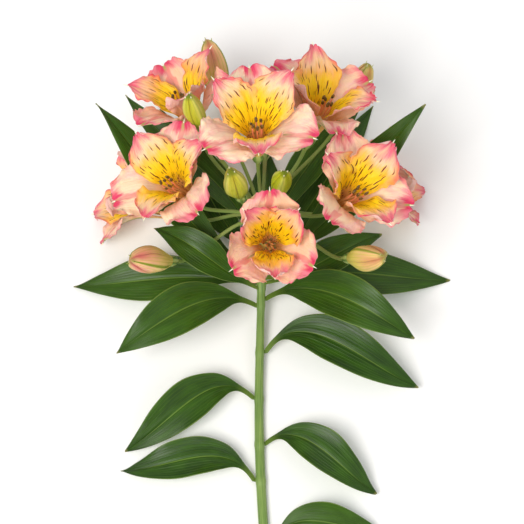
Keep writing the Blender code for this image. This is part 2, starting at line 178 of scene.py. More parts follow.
BLOOMS = (
    Flower("bloom_1", -8, 76, 0.096, 1.00, 1.08, 10),
    Flower("bloom_2", 33, 41, 0.088, 0.95, 1.04, -15),
    Flower("bloom_3", -86, 47, 0.080, 1.00, 1.02, 25),
    Flower("bloom_4", -38, 32, 0.092, 0.92, 1.03, -10),
    Flower("bloom_5", 93, 46, 0.080, 0.90, 1.04, -20),
    Flower("bloom_6", 68, -4, 0.085, 0.95, 0.96, 12, upward=0.45),
    Flower("bloom_7", -76, -4, 0.085, 0.95, 0.96, -14, upward=0.45),
    Flower("bloom_8", 2, -4, 0.088, 0.95, 0.98, 5, upward=0.45),
    Flower("bloom_9", 172, 58, 0.068, 0.70, 0.96, 0),
)
BUDS = (
    Flower("bud_1", -75, 73, 0.058, size=0.86),
    Flower("bud_2", 61, 75, 0.052, size=0.74),
    Flower("bud_3", -44, 53, 0.095, size=0.75),
    Flower("bud_4", -18, 18, 0.104, size=1.05),
    Flower("bud_5", 36, 16, 0.106, size=0.90),
    Flower("bud_6", -118, 22, 0.084, size=1.0),
    Flower("bud_7", 120, 27, 0.083, size=0.95),
)
BLOOM_DEPTH = 0.027
BUD_DEPTH = 0.0216


def flower_frame(flower, depth):
    """The flower's frame: z out of its throat, y to its upper side."""
    way = direction(flower.azimuth, flower.elevation)
    axis = (way + UP * flower.upward).normalized()
    face = whorl + way * flower.distance
    upper = Vector((0.0, 0.5, 1.0))
    upper = (upper - axis * upper.dot(axis)).normalized()
    place = Matrix((upper.cross(axis), upper, axis)).transposed().to_4x4()
    place.translation = face - axis * (depth * flower.size)
    return place @ Matrix.Rotation(math.radians(flower.roll), 4, "Z")


def placed(matrix, points):
    """Points moved from a flower's frame to the table's."""
    matrix = np.array(matrix)
    return points @ matrix[:3, :3].T + matrix[:3, 3]


print("blooms", len(BLOOMS), "and buds", len(BUDS))

# %% [markdown]
# ## Camera and light
#
# The picture was taken from the front and above, in soft light from the upper
# left. A stem that lies down is looked at from above in the same way, so the
# camera leans back a little towards the cut end. A large soft lamp makes the
# main light, two weaker ones fill the shadows at the side and behind, and a pale
# sky does the rest.

# %% Camera and lights
LOOK_AT = Vector((0.0, 0.076, 0.050))
CAMERA_AZIMUTH = 0.0
CAMERA_ELEVATION = 68.0
CAMERA_DISTANCE = 1.10
LENS = 130.0


def set_up(name, data, azimuth, elevation, distance):
    """Aims a camera or a lamp at the middle of the picture; azimuth 0 is in front."""
    turn, lift = math.radians(azimuth), math.radians(elevation)
    way = Vector((math.sin(turn) * math.cos(lift), -math.cos(turn) * math.cos(lift), math.sin(lift)))
    place = LOOK_AT + way * distance
    obj = bpy.data.objects.new(name, data)
    obj.location = place
    obj.rotation_euler = (LOOK_AT - place).to_track_quat("-Z", "Y").to_euler()
    bpy.context.scene.collection.objects.link(obj)
    return obj


def lamp(name, azimuth, elevation, distance, size, watts, color):
    """A square soft lamp that points at the flowers."""
    data = bpy.data.lights.new(name, "AREA")
    data.shape = "SQUARE"
    data.size = size
    data.energy = watts
    data.color = color
    set_up(name, data, azimuth, elevation, distance)


camera_data = bpy.data.cameras.new("camera")
camera_data.lens = LENS
camera = set_up("camera", camera_data, CAMERA_AZIMUTH, CAMERA_ELEVATION, CAMERA_DISTANCE)
bpy.context.scene.camera = camera

lamp("soft_key", -38, 56, 1.3, 0.6, 13.5, (1.0, 0.98, 0.95))
lamp("soft_fill", 70, 40, 1.4, 1.2, 3.0, (0.96, 0.98, 1.0))
lamp("soft_back", 168, 38, 1.4, 1.2, 3.2, (1.0, 0.99, 0.97))
world = bpy.data.worlds.new("pale_sky")
bpy.context.scene.world = world
world.use_nodes = True
world.node_tree.nodes["Background"].inputs["Color"].default_value = (0.96, 0.98, 1.0, 1.0)
world.node_tree.nodes["Background"].inputs["Strength"].default_value = 0.50
bpy.context.scene.view_settings.view_transform = "Standard"
print("camera", [round(value, 3) for value in camera.location])

# %% [markdown]
# ## Painting with numbers
#
# The finishes are node trees, and a tree is easier to read as a sum. So a
# number that a node puts out is wrapped here in a small class: adding two such
# numbers, or multiplying one, adds the math node that does it. The same class
# serves in the geometry nodes further down.
#
# Most of a flower's colour comes in layers, each as thick as some number says.
# Colours are written as red, green and blue from 0 to 255, the way a colour
# picker shows them.


# %% Nodes as numbers
def fill(node, sockets):
    """Links a node's sockets to outputs, or to lists of them, or sets their own values."""
    for key, value in sockets.items():
        for one in value if isinstance(value, list) else [value]:
            one = one.socket if isinstance(one, Number) else one
            if isinstance(one, bpy.types.NodeSocket):
                node.id_data.links.new(one, node.inputs[key])
            else:
                node.inputs[key].default_value = one


def add_node(tree, kind, sockets=(), output=0, **settings):
    """Adds a node with its settings, fills its sockets and hands back one output."""
    node = tree.nodes.new(kind)
    for key, value in settings.items():
        setattr(node, key, value)
    fill(node, dict(sockets))
    return node.outputs[output]


class Number:
    """A number that a node puts out; arithmetic with it adds math nodes."""

    def __init__(self, socket):
        self.socket = socket
        self.tree = socket.id_data

    def math(self, operation, first, second=0.0):
        return Number(add_node(self.tree, "ShaderNodeMath", {0: first, 1: second}, operation=operation))

    def __add__(self, other):
        return self.math("ADD", self, other)

    def __sub__(self, other):
        return self.math("SUBTRACT", self, other)

    def __mul__(self, other):
        return self.math("MULTIPLY", self, other)

    def __truediv__(self, other):
        return self.math("DIVIDE", self, other)

    def __abs__(self):
        return self.math("ABSOLUTE", self)

    def sine(self):
        return self.math("SINE", self)


def vector(x, y, z=0.0):
    """Three numbers as one vector; the first has to be a node's."""
    return add_node(x.tree, "ShaderNodeCombineXYZ", {0: x, 1: y, 2: z})


def parts(whole, kind="XYZ"):
    """The three numbers of a vector or a colour."""
    outputs = add_node(whole.id_data, "ShaderNodeSeparate" + kind, {0: whole}).node.outputs
    return [Number(output) for output in outputs]


print("nodes are ready to count with")


# %% Patterns and layers
def paint(red, green, blue):
    """A colour picker's colour as the linear values that a shader wants."""
    shares = (red / 255.0, green / 255.0, blue / 255.0)
    linear = [s / 12.92 if s <= 0.04045 else ((s + 0.055) / 1.055) ** 2.4 for s in shares]
    return (*linear, 1.0)


def step(low, high, number):
    """0 below low, 1 above high; low above high gives a falling step."""
    ends = (0.0, 1.0)
    if low > high:
        low, high, ends = high, low, (1.0, 0.0)
    sockets = dict(enumerate((number, low, high, *ends)))
    return Number(add_node(number.tree, "ShaderNodeMapRange", sockets, interpolation_type="SMOOTHSTEP"))


def layers(color, *coats):
    """Lays coats of (amount, colour) over a first colour, one after the other."""
    for amount, coat in coats:
        sockets = {0: amount, 6: color, 7: coat}
        color = add_node(amount.tree, "ShaderNodeMix", sockets, output=2, data_type="RGBA")
    return color


def noise(place, scale, detail=2.0):
    """Soft noise, from about -0.5 to 0.5."""
    sockets = {"Vector": place, "Scale": scale, "Detail": detail}
    return Number(add_node(place.id_data, "ShaderNodeTexNoise", sockets)) - 0.5


def spots(place, radius, share):
    """Spots in a share of the cells of a grid one unit wide, 0 or 1 with a soft edge."""
    sockets = {"Vector": place, "Scale": 1.0}
    distance = add_node(place.id_data, "ShaderNodeTexVoronoi", sockets, voronoi_dimensions="2D")
    chance, width, _ = parts(distance.node.outputs["Color"], "Color")
    near = Number(distance) / ((width * 0.6 + 0.7) * radius)
    return step(1.15, 0.75, near) * chance.math("LESS_THAN", chance, share)


class Paintbox:
    """One material, with what its mesh stores and its finished shader."""

    def __init__(self, name):
        self.material = bpy.data.materials.new(name)
        self.material.use_nodes = True
        self.tree = self.material.node_tree

    def stored(self, name, output="Vector"):
        """What the mesh stores on its points under a name."""
        return add_node(self.tree, "ShaderNodeAttribute", output=output, attribute_name=name)

    def values(self, *names):
        """The numbers stored on the mesh under these names."""
        return [Number(self.stored(name, "Fac")) for name in names]

    def place(self):
        """The point's own place in the object, in metres."""
        return add_node(self.tree, "ShaderNodeTexCoord", output="Object")

    def sheet(self):
        """How far across a sheet, -1 to 1, and how far along it, 0 to 1."""
        across, along, _ = parts(add_node(self.tree, "ShaderNodeUVMap", uv_map="sheet"))
        return across * 2.0 - 1.0, along

    def finish(self, color, roughness, height=None, relief=0.0, **settings):
        """Sets the shader: colour, roughness, bump and the values that are even all over."""
        sockets = {name.replace("_", " "): number for name, number in settings.items()}
        sockets |= {"Base Color": color, "Roughness": roughness}
        if height is not None:
            bump = {"Distance": relief, "Height": height}
            sockets["Normal"] = add_node(self.tree, "ShaderNodeBump", bump)
        fill(self.tree.nodes["Principled BSDF"], sockets)
        return self.material


print("golden yellow is", [round(value, 2) for value in paint(255, 214, 40)])

# %% [markdown]
# ## The petals' colours
#
# An alstroemeria has three outer and three inner petals, which botanists call
# tepals. The inner ones carry the show: golden yellow from the throat outwards,
# with dark dashes that follow the veins, then peach, then a pink tip. The outer
# ones are cream and pale pink with magenta blotches round a small notch.
#
# The petal's own two coordinates drive everything. `across` runs over the
# petal and `along` runs from its foot to its tip, so a line of constant
# `across` is a vein. Spots in a grid that is stretched along the veins become
# the dashes. Each petal also stores a `tone`, which shifts its patterns, and
# how `warm` its flower is.

# %% Shared colours and petal patterns
THROAT = paint(246, 182, 108)
GOLD = paint(254, 207, 20)
ORANGE = paint(244, 140, 66)
PEACH = paint(252, 192, 106)
CREAM = paint(253, 224, 190)
PALE_PINK = paint(250, 194, 182)
SALMON = paint(246, 162, 112)
PINK = paint(241, 116, 136)
MAGENTA = paint(220, 46, 94)
DASH = paint(98, 24, 6)
RIB_GREEN = paint(140, 160, 70)
FRESH_GREEN = paint(150, 190, 84)
MUCRO = paint(250, 246, 214)

# Columns and rows of the grid, its shift, the share of cells with a dash, and
# how far along the petal the dashes start and end.
DASH_GRIDS = (
    (6.9, 3.4, 0.0, 0.62, 0.34, 0.78),
    (8.2, 4.9, 7.3, 0.54, 0.28, 0.64),
    (9.2, 7.2, 3.1, 0.48, 0.24, 0.50),
)
DASH_RADIUS = 0.195
DOT_RADIUS = 0.30
DOT_SHARE = 0.55


def petal_base(name):
    """A petal's coordinates and the noise that makes its colours run unevenly."""
    box = Paintbox(name)
    across, along = box.sheet()
    tone, warm = box.values("tone", "warm")
    uneven = noise(vector(across + tone * 17.0, along * 1.4, tone), 3.2, 3.0)
    fibres = noise(vector(across * 16.0, along * 1.2, tone), 2.0, 2.0)
    return box, across, along, abs(across), tone, warm, uneven, fibres


def dashes(across, along, tone):
    """Dark dashes along the veins in the yellow part, and small dots in the throat."""
    marks = 0.0
    for columns, rows, shift, share, low, high in DASH_GRIDS:
        grid = vector(across * columns + (tone * 31.0 + shift), along * rows + shift)
        where = step(low - 0.05, low + 0.04, along) * step(high + 0.05, high - 0.05, along)
        found = spots(grid, DASH_RADIUS, share) * where
        marks = found.math("MAXIMUM", marks, found)
    marks = marks * step(0.95, 0.84, abs(across))
    grid = vector(across * 3.2 + tone * 13.0, along * 21.0)
    dots = spots(grid, DOT_RADIUS, DOT_SHARE) * step(0.07, 0.12, along) * step(0.34, 0.26, along)
    return dots.math("MAXIMUM", marks, dots * 0.8)


def petal_finish(box, color, across, along, tone, fibres):
    """Soft, slightly see-through flesh, with ridges that wander along the veins."""
    ridges = noise(vector(across * 5.0, along * 3.2, tone * 5.0), 1.3, 3.0)
    return box.finish(
        layers(color, (box.values("tip")[0], MUCRO)),
        fibres * 0.2 + 0.48,
        ridges * 2.2 + fibres * 0.8,
        0.0004,
        Subsurface_Weight=0.25,
        Subsurface_Radius=(1.0, 0.50, 0.30),
        Subsurface_Scale=0.0012,
        Specular_IOR_Level=0.30,
    )


print("dash grids", len(DASH_GRIDS))


# %% Petal finishes
def inner_petal_paint():
    """Gold with dashes, running out to peach, cream and a pink tip."""
    box, across, along, side, tone, warm, uneven, fibres = petal_base("inner_tepal_paint")
    marks, is_back = box.values("marks", "back")
    reach = along + (uneven * 0.34 + fibres * 0.16)
    rim = side + uneven * 0.40
    peach = layers(PEACH, (warm, ORANGE))
    back = layers(
        PEACH,
        (step(0.25, 0.75, reach), PALE_PINK),
        (step(0.16, 0.0, side) * 0.5, PINK),
    )
    color = layers(
        THROAT,
        (step(0.17, 0.33, reach), GOLD),
        (step(0.55, 0.78, reach), peach),
        (step(0.66, 0.84, reach) * (warm * -0.5 + 0.75), CREAM),
        (step(0.60, 1.0, rim) * step(0.35, 0.65, along) * 0.7, peach),
        (step(0.12, 0.38, fibres) * step(0.20, 0.45, along) * 0.45, ORANGE),
        (step(0.80, 0.98, reach + tone * 0.08) * 0.95, PINK),
        (step(0.82, 1.04, rim) * step(0.55, 0.85, along) * 0.9, MAGENTA),
        (step(0.92, 1.06, reach) * 0.85, MAGENTA),
        (dashes(across, along, tone) * marks, DASH),
        (is_back, back),
    )
    return petal_finish(box, color, across, along, tone, fibres)


def outer_petal_paint():
    """Cream and pale pink, with a warm foot, magenta blotches and a green rib."""
    box, across, along, side, tone, warm, uneven, fibres = petal_base("outer_tepal_paint")
    reach = along + (uneven * 0.32 + fibres * 0.12)
    rim = side + uneven * 0.55
    near = side + uneven * 0.6
    flush = step(-0.06, 0.20, uneven + tone * 0.10) * step(0.36, 0.70, along)
    blotch = step(0.80, 0.95, reach) * step(0.50, 0.24, near) * step(0.02, 0.10, side)
    spot = step(0.10, 0.02, side + fibres * 0.05) * step(0.86, 0.94, along)
    back = layers(
        PEACH,
        (step(0.30, 0.75, reach), CREAM),
        (step(0.66, 1.0, rim) * 0.7, PINK),
        (step(0.22, 0.04, side + fibres * 0.08) * step(0.99, 0.60, along) * 0.8, RIB_GREEN),
        (step(0.88, 1.0, reach) * 0.6, RIB_GREEN),
    )
    color = layers(
        PEACH,
        (step(0.20, 0.50, reach), CREAM),
        (warm * 0.75 + 0.04, SALMON),
        (flush * 0.75, PALE_PINK),
        (step(0.10, 0.40, fibres) * step(0.35, 0.70, along) * 0.40, PINK),
        (step(0.84, 1.08, rim) * step(0.40, 0.75, along) * 0.75, PINK),
        (step(1.00, 1.16, rim) * step(0.60, 0.85, along), MAGENTA),
        (step(0.86, 1.04, reach + tone * 0.06) * 0.9, PINK),
        (blotch * 0.95, MAGENTA),
        (step(0.13, 0.05, near) * step(0.50, 0.70, along) * 0.5, MAGENTA),
        (step(0.055, 0.015, side) * step(0.74, 0.55, along) * 0.6, RIB_GREEN),
        (spot * (tone * 0.6 + 0.25), FRESH_GREEN),
        (box.values("back")[0], back),
    )
    return petal_finish(box, color, across, along, tone, fibres)


INNER_PAINT = inner_petal_paint()
OUTER_PAINT = outer_petal_paint()
print("nodes of a petal's finish:", len(INNER_PAINT.node_tree.nodes))

# %% [markdown]
# ## A petal's form
#
# A petal is a thin closed sheet. Its midline leaves the flower's foot steeply
# and bends outwards, its width follows a smooth line through a few stations,
# and its cross-section is cupped at the foot and nearly flat at the blade. To
# that come the things that make it look alive: a shallow crease on the midline,
# a margin that is crinkled towards the tip, an outline that isn't quite even,
# and a small pale point in the notch.
#
# Two grids of points, one for each face, are joined round the margin, so the
# sheet has a real thickness that thins out towards its edge.


# %% Petal sizes
@dataclass
class Tepal:
    """One tepal, as the curve of its midline and its half width along it."""

    length: float
    half_width: float
    widths: tuple
    foot_radius: float
    foot_height: float
    foot_angle: float
    flare: float
    recurve: float
    foot_wrap: float
    blade_wrap: float
    rounding: float
    ruffle: float
    waves: float
    notch: float
    phase: float = 0.0
    sideways: float = 0.0


OUTER_TEPAL = Tepal(
    length=0.048,
    half_width=0.0172,
    widths=((0, 0.16), (0.25, 0.34), (0.5, 0.80), (0.7, 1.0), (0.86, 0.92), (1, 0.60)),
    foot_radius=0.0040,
    foot_height=-0.0021,
    foot_angle=16.0,
    flare=70.0,
    recurve=14.0,
    foot_wrap=0.58,
    blade_wrap=0.30,
    rounding=0.10,
    ruffle=0.0014,
    waves=2.2,
    notch=0.035,
)
INNER_TEPAL = Tepal(
    length=0.050,
    half_width=0.0136,
    widths=((0, 0.14), (0.25, 0.31), (0.5, 0.78), (0.68, 1.0), (0.86, 0.78), (1, 0.24)),
    foot_radius=0.0028,
    foot_height=-0.0004,
    foot_angle=11.0,
    flare=52.0,
    recurve=12.0,
    foot_wrap=0.64,
    blade_wrap=0.42,
    rounding=0.05,
    ruffle=0.0013,
    waves=2.6,
    notch=0.0,
)
OUTER_AZIMUTHS = (90.0, 213.0, 327.0)
INNER_AZIMUTHS = (44.0, 136.0, 270.0)
MIDLINE_STEPS = 60
CREASE = 0.0007
BROAD_FOLD = 0.0016
BROAD_LENGTHS = (0.019, 0.014, 0.011)
FINE_FOLD = 0.0008
FINE_LENGTHS = (0.0075, 0.0055, 0.0045)
PLEAT = 0.00022
PLEAT_TURNS = 17.0
PLEAT_WANDER = 1.6
WANDER_LENGTHS = (0.023, 0.013)
OUTLINE = 0.028
OUTLINE_LENGTHS = (0.22, 0.13, 0.08, 0.05)
TIP_LENGTHS = (0.9, 0.5, 0.3)
print("an outer petal is", 1000 * OUTER_TEPAL.length, "mm long")


# %% Petal points
def midline(tepal):
    """Distance from the flower's axis, height and slope at even steps along a tepal."""
    radius, height = tepal.foot_radius, tepal.foot_height
    length = tepal.length / MIDLINE_STEPS
    stations = []
    for index in range(MIDLINE_STEPS + 1):
        share = index / MIDLINE_STEPS
        slope = tepal.foot_angle
        slope += (tepal.flare - tepal.foot_angle) * float(soft_step(0.18, 0.80, share))
        slope += tepal.recurve * float(soft_step(0.75, 1.0, share))
        slope = math.radians(slope)
        stations.append((radius, height, slope))
        radius += length * math.sin(slope)
        height += length * math.cos(slope)
    return np.array(stations)


def waves(x, y, lengths, seed):
    """Random waves over a surface: each length runs in its own direction; about -1 to 1."""
    dice = np.random.default_rng(seed)
    total = 0.0
    for length in lengths:
        way, phase = dice.uniform(0.0, math.tau, 2)
        total = total + np.sin(math.tau * (x * math.cos(way) + y * math.sin(way)) / length + phase)
    return total / math.sqrt(len(lengths))


def crinkle(x, y, u, v, seed):
    """Soft pleats along the veins, broad folds towards the margin and fine ones at its edge."""
    side = np.abs(u) ** 2.2 * soft_step(0.30, 0.62, v)
    margin = np.maximum(side, soft_step(0.78, 1.0, v) * (0.35 + 0.65 * np.abs(u)))
    folds = BROAD_FOLD * waves(x, y, BROAD_LENGTHS, seed)
    folds = folds + FINE_FOLD * margin * waves(x, y, FINE_LENGTHS, seed + 1)
    wander = PLEAT_WANDER * waves(0.0 * x, y, WANDER_LENGTHS, seed + 4)
    return PLEAT * np.sin(PLEAT_TURNS * u + wander) * soft_step(0.25, 0.55, v) + margin * folds


def tepal_points(tepal, azimuth, u, v):
    """The tepal's middle surface in the flower's frame, for arrays u and v."""
    seed = int(tepal.phase * 1e6)
    uneven = OUTLINE * waves(5.0 * np.sign(u), v, OUTLINE_LENGTHS, seed + 2) * soft_step(0.35, 0.7, v)
    share = v - tepal.rounding * v**3 * np.abs(u) ** 2.4
    share = share - tepal.notch * soft_step(0.90, 1.0, v) * hump(u, 0.16)
    share = share + 0.5 * OUTLINE * soft_step(0.88, 1.0, v) * waves(u, 0.0 * v, TIP_LENGTHS, seed + 3)
    place = np.clip(share, 0.0, 1.0) * MIDLINE_STEPS
    numbers = np.arange(MIDLINE_STEPS + 1)
    radius, height, slope = (np.interp(place, numbers, row) for row in midline(tepal).T)
    half_width = tepal.half_width * (smooth_line(tepal.widths, v) + uneven)
    wrap = tepal.foot_wrap + (tepal.blade_wrap - tepal.foot_wrap) * soft_step(0.1, 0.6, v)
    bow = half_width / wrap
    across = bow * np.sin(wrap * u) + tepal.sideways * v * v
    inward = bow * (1.0 - np.cos(wrap * u))
    wave = np.sin(math.tau * tepal.waves * v + tepal.phase + np.where(u < 0.0, 0.0, 2.1))
    inward = inward + tepal.ruffle * soft_step(0.3, 0.7, v) * np.abs(u) ** 1.5 * wave
    inward = inward - CREASE * hump(u, 0.10) * soft_step(0.1, 0.4, v)
    inward = inward + crinkle(half_width * u, tepal.length * v, u, v, seed)
    points = np.stack((radius - inward * np.cos(slope), across, height + inward * np.sin(slope)), -1)
    return placed(Matrix.Rotation(math.radians(azimuth), 4, "Z"), points)


print("a midline has", len(midline(OUTER_TEPAL)), "stations")

# %% [markdown]
# ## From points to closed pieces
#
# The same step makes every petal and leaf: take a grid of points, move a copy
# half a thickness to each side along the surface's normal, and stitch the two
# copies together round the edge. The mesh also stores what the finishes need,
# as a UV map and as numbers on its points.
#
# Round pieces, such as a bud, an ovary or the point of a petal, are turned like
# a pot instead: rings of points on an axis, with a closing point at each end.


# %% Shapes
class Shape:
    """Collects points, faces and stored numbers of one piece, and makes it an object."""

    def __init__(self, *stored):
        self.points = []
        self.faces = []
        self.uv = []
        self.stored = {name: [] for name in stored}
        self.count = 0

    def add(self, points, faces, uv=0.5, **numbers):
        """Adds points and faces; uv and the stored numbers are one for all or one for each point."""
        self.points.append(points)
        self.uv.append(np.broadcast_to(uv, (len(points), 2)))
        self.faces += [[corner + self.count for corner in face] for face in faces]
        self.count += len(points)
        for name, values in self.stored.items():
            values.append(np.broadcast_to(numbers.get(name, 0.0), len(points)))

    def build(self, name, material):
        """The finished object, shaded smooth, with its normals outwards."""
        mesh = bpy.data.meshes.new(name)
        mesh.from_pydata(np.concatenate(self.points).tolist(), [], self.faces)
        layer = mesh.uv_layers.new(name="sheet")
        corners = np.empty(len(mesh.loops), np.int32)
        mesh.loops.foreach_get("vertex_index", corners)
        layer.uv.foreach_set("vector", np.concatenate(self.uv)[corners].astype(np.float32).ravel())
        for key, values in self.stored.items():
            store(mesh, key, np.concatenate(values))
        mesh.materials.append(material)
        mesh.shade_smooth()
        obj = bpy.data.objects.new(name, mesh)
        bpy.context.scene.collection.objects.link(obj)
        return obj


def store(mesh, name, values):
    """Stores a number or a vector for each point of a mesh."""
    kind, field = ("FLOAT_VECTOR", "vector") if values.ndim == 2 else ("FLOAT", "value")
    data = mesh.attributes.new(name, kind, "POINT").data
    data.foreach_set(field, values.astype(np.float32).ravel())


def dress(piece, node):
    """Puts a finished piece in the place of one of the frame's plain nodes."""
    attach(piece, "root")
    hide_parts(node)


print("plain nodes to dress:", len(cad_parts))

# %% Sheets
TABLE_GAP = 0.0001
TABLE_BEND = 0.0010


def grid_faces(rows, columns, offset=0):
    """Quads of a grid of (rows + 1) by (columns + 1) points."""
    first = np.arange(rows)[:, None] * (columns + 1) + np.arange(columns) + offset
    return first.reshape(-1, 1) + (0, 1, columns + 2, columns + 1)


def rim_faces(rows, columns, other):
    """Quads that join the edge of a grid to the edge of the grid that starts at other."""
    grid = np.arange((rows + 1) * (columns + 1)).reshape(rows + 1, columns + 1)
    edge = np.concatenate((grid[0, :-1], grid[:-1, -1], grid[-1, :0:-1], grid[:0:-1, 0]))
    after = np.roll(edge, -1)
    return np.stack((after, edge, edge + other, after + other), -1)


def surface_normals(points):
    """Unit normals of a grid of points."""
    normals = np.cross(np.gradient(points, axis=1), np.gradient(points, axis=0))
    return normals / np.maximum(np.linalg.norm(normals, axis=-1, keepdims=True), 1e-12)


def above_table(points, thickness):
    """Bends the parts of a sheet that would reach into the table smoothly along it."""
    clear = TABLE_GAP + thickness / 2.0
    height = points[..., 2] - clear
    lifted = clear + (height + np.sqrt(height**2 + TABLE_BEND**2)) / 2.0
    return np.stack((points[..., 0], points[..., 1], lifted), -1)


def add_sheet(shape, points, u, v, thickness, front, **numbers):
    """Adds a closed sheet; thickness is an array, front is 1 or -1, the normal's side that shows."""
    rows, columns = u.shape[0] - 1, u.shape[1] - 1
    points = above_table(points, thickness)
    offset = surface_normals(points) * (thickness / 2.0)[..., None]
    uv = np.stack(((u.ravel() + 1.0) / 2.0, v.ravel()), -1)
    count = u.size
    faces = (
        grid_faces(rows, columns),
        grid_faces(rows, columns, count)[:, ::-1],
        rim_faces(rows, columns, count),
    )
    both = np.concatenate(((points + offset).reshape(-1, 3), (points - offset).reshape(-1, 3)))
    back = np.repeat((0.0, 1.0) if front > 0 else (1.0, 0.0), count)
    shape.add(both, np.concatenate(faces).tolist(), np.concatenate((uv, uv)), back=back, **numbers)


def sheet_grid(rows, columns, edge):
    """Even steps along, and steps across that get finer towards the margins."""
    across = np.linspace(-1.0, 1.0, columns + 1)
    across = np.sign(across) * (1.0 - (1.0 - np.abs(across)) ** edge)
    return np.meshgrid(across, np.linspace(0.0, 1.0, rows + 1))


print("a sheet of 2 by 2 has", len(grid_faces(2, 2)) * 2 + len(rim_faces(2, 2, 9)), "faces")

# %% Turned shapes and spikes
SPIKE_SIDES = 6
SPIKE_SHARES = np.array((0.0, 0.35, 0.75))
SPIKE_WIDTHS = np.array((1.0, 0.75, 0.35))


def add_turned(shape, place, radii, heights, ends=None, **numbers):
    """Adds a closed solid round an axis: radii holds one row per height, ends the poles' heights."""
    rows, columns = radii.shape
    angles = np.arange(columns) * math.tau / columns
    level = np.broadcast_to(np.reshape(heights, (rows, -1)), radii.shape)
    rings = np.stack((radii * np.cos(angles), radii * np.sin(angles), level), -1).reshape(-1, 3)
    low, high = ends or (level[0].mean(), level[-1].mean())
    points = placed(place, np.concatenate(([(0.0, 0.0, low)], rings, [(0.0, 0.0, high)])))
    faces, last = [], len(points) - 1
    for column in range(columns):
        after = (column + 1) % columns
        faces.append((0, 1 + after, 1 + column))
        faces.append((last, last - columns + column, last - columns + after))
        for a in range(1, last - columns, columns):
            b = a + columns
            faces.append((a + column, a + after, b + after, b + column))
    stored = {}
    for key, value in numbers.items():
        value = np.broadcast_to(value, radii.shape)
        stored[key] = np.concatenate(((value[0].mean(),), value.ravel(), (value[-1].mean(),)))
    shape.add(points, faces, **stored)


def add_spike(shape, foot, way, length, radius, **numbers):
    """A small closed cone with a rounded shoulder."""
    way = way.normalized()
    side = way.orthogonal().normalized()
    place = Matrix((side, way.cross(side), way)).transposed().to_4x4()
    place.translation = foot
    radii = np.repeat(radius * SPIKE_WIDTHS[:, None], SPIKE_SIDES, axis=1)
    add_turned(shape, place, radii, length * SPIKE_SHARES, (-radius, length), **numbers)


print("a spike has", SPIKE_SIDES * (len(SPIKE_SHARES) + 1), "faces")

# %% [markdown]
# ## The blooms
#
# Each bloom is two pieces here, its outer whorl and its inner whorl, as on the
# frame. A seeded random draw gives every petal its own length, width, tilt and
# waves. The draws are made in the same order as in the frame, so each petal
# grows on the plain one that it replaces. A second draw is for looks alone.

# %% Build the whorls
TEPAL_COLUMNS = 36
TEPAL_ROWS = 64
TEPAL_EDGE = 1.25
TEPAL_THICKNESS = 0.00045
RIM_THICKNESS = 0.40
MUCRO_LENGTH = 0.0030
MUCRO_RADIUS = 0.00045
LOWEST_AZIMUTH = 270.0
LOWEST_MARKS = 0.7
STAMEN_COUNT = 6
WARMTH = (0.0, 0.30, 0.10, 0.50, 0.20, 0.45, 0.35, 0.1, 0.45)
draws = random.Random(7)
looks = random.Random(21)
stamen_reaches = {}


def add_tepal(shape, place, tepal, azimuth, **numbers):
    """One petal with its point, in the table's frame."""
    u, v = sheet_grid(TEPAL_ROWS, TEPAL_COLUMNS, TEPAL_EDGE)
    points = placed(place, tepal_points(tepal, azimuth, u, v))
    thin = 1.0 - (1.0 - RIM_THICKNESS) * np.maximum(np.abs(u) ** 4, soft_step(0.7, 1.0, v))
    tone = looks.random()
    add_sheet(shape, points, u, v, TEPAL_THICKNESS * thin, -1, tone=tone, **numbers)
    middle = TEPAL_COLUMNS // 2
    tip, before = (Vector(points[row, middle]) for row in (TEPAL_ROWS, TEPAL_ROWS - 3))
    way = (tip - before).normalized()
    tip.z = max(tip.z, MUCRO_RADIUS + TABLE_GAP + TABLE_BEND / 2.0)
    way.z = max(way.z, (MUCRO_RADIUS - tip.z) / MUCRO_LENGTH)
    add_spike(shape, tip, way, MUCRO_LENGTH, MUCRO_RADIUS, tip=1.0, tone=tone)


def whorl_of_tepals(flower, warm, kind, azimuths):
    """Three petals in one piece, drawn in the frame's order."""
    place = flower_frame(flower, BLOOM_DEPTH)
    shape = Shape("back", "tone", "marks", "tip", "warm")
    for azimuth in azimuths:
        tepal = replace(
            kind,
            length=kind.length * flower.size * draws.uniform(0.97, 1.03),
            half_width=kind.half_width * flower.size * draws.uniform(0.95, 1.04),
            flare=kind.flare * flower.openness + draws.uniform(-3.0, 3.0),
            phase=draws.uniform(0.0, math.tau),
            sideways=draws.uniform(-0.0015, 0.0015),
        )
        marks = LOWEST_MARKS if azimuth == LOWEST_AZIMUTH else 1.0
        add_tepal(shape, place, tepal, azimuth + draws.uniform(-2.0, 2.0), marks=marks, warm=warm)
    return shape


for flower, warm in zip(BLOOMS, WARMTH):
    for ring, kind, azimuths, finish in (
        ("outer", OUTER_TEPAL, OUTER_AZIMUTHS, OUTER_PAINT),
        ("inner", INNER_TEPAL, INNER_AZIMUTHS, INNER_PAINT),
    ):
        shape = whorl_of_tepals(flower, warm, kind, azimuths)
        piece = shape.build(f"{flower.name}_{ring}_whorl", finish)
        dress(piece, f"{flower.name}_{ring}_tepals")
    stamen_reaches[flower.name] = [draws.uniform(0.82, 1.0) for _ in range(STAMEN_COUNT)]
print("a whorl has", len(piece.data.vertices), "points")

# %% [markdown]
# ## Threads that follow a path
#
# Stalks and stamens are round threads that run along a curve. The script draws
# only their middle lines, as bare edges, and stores on each point how thick the
# thread is there. Geometry Nodes do the rest: they turn the edges into curves,
# sweep a circle along them and close the ends. The circle's own points are
# stored too, as `round`, so that a finish can run streaks down a stalk without
# a seam. A bead can be set on the end of each thread, which makes the anthers.


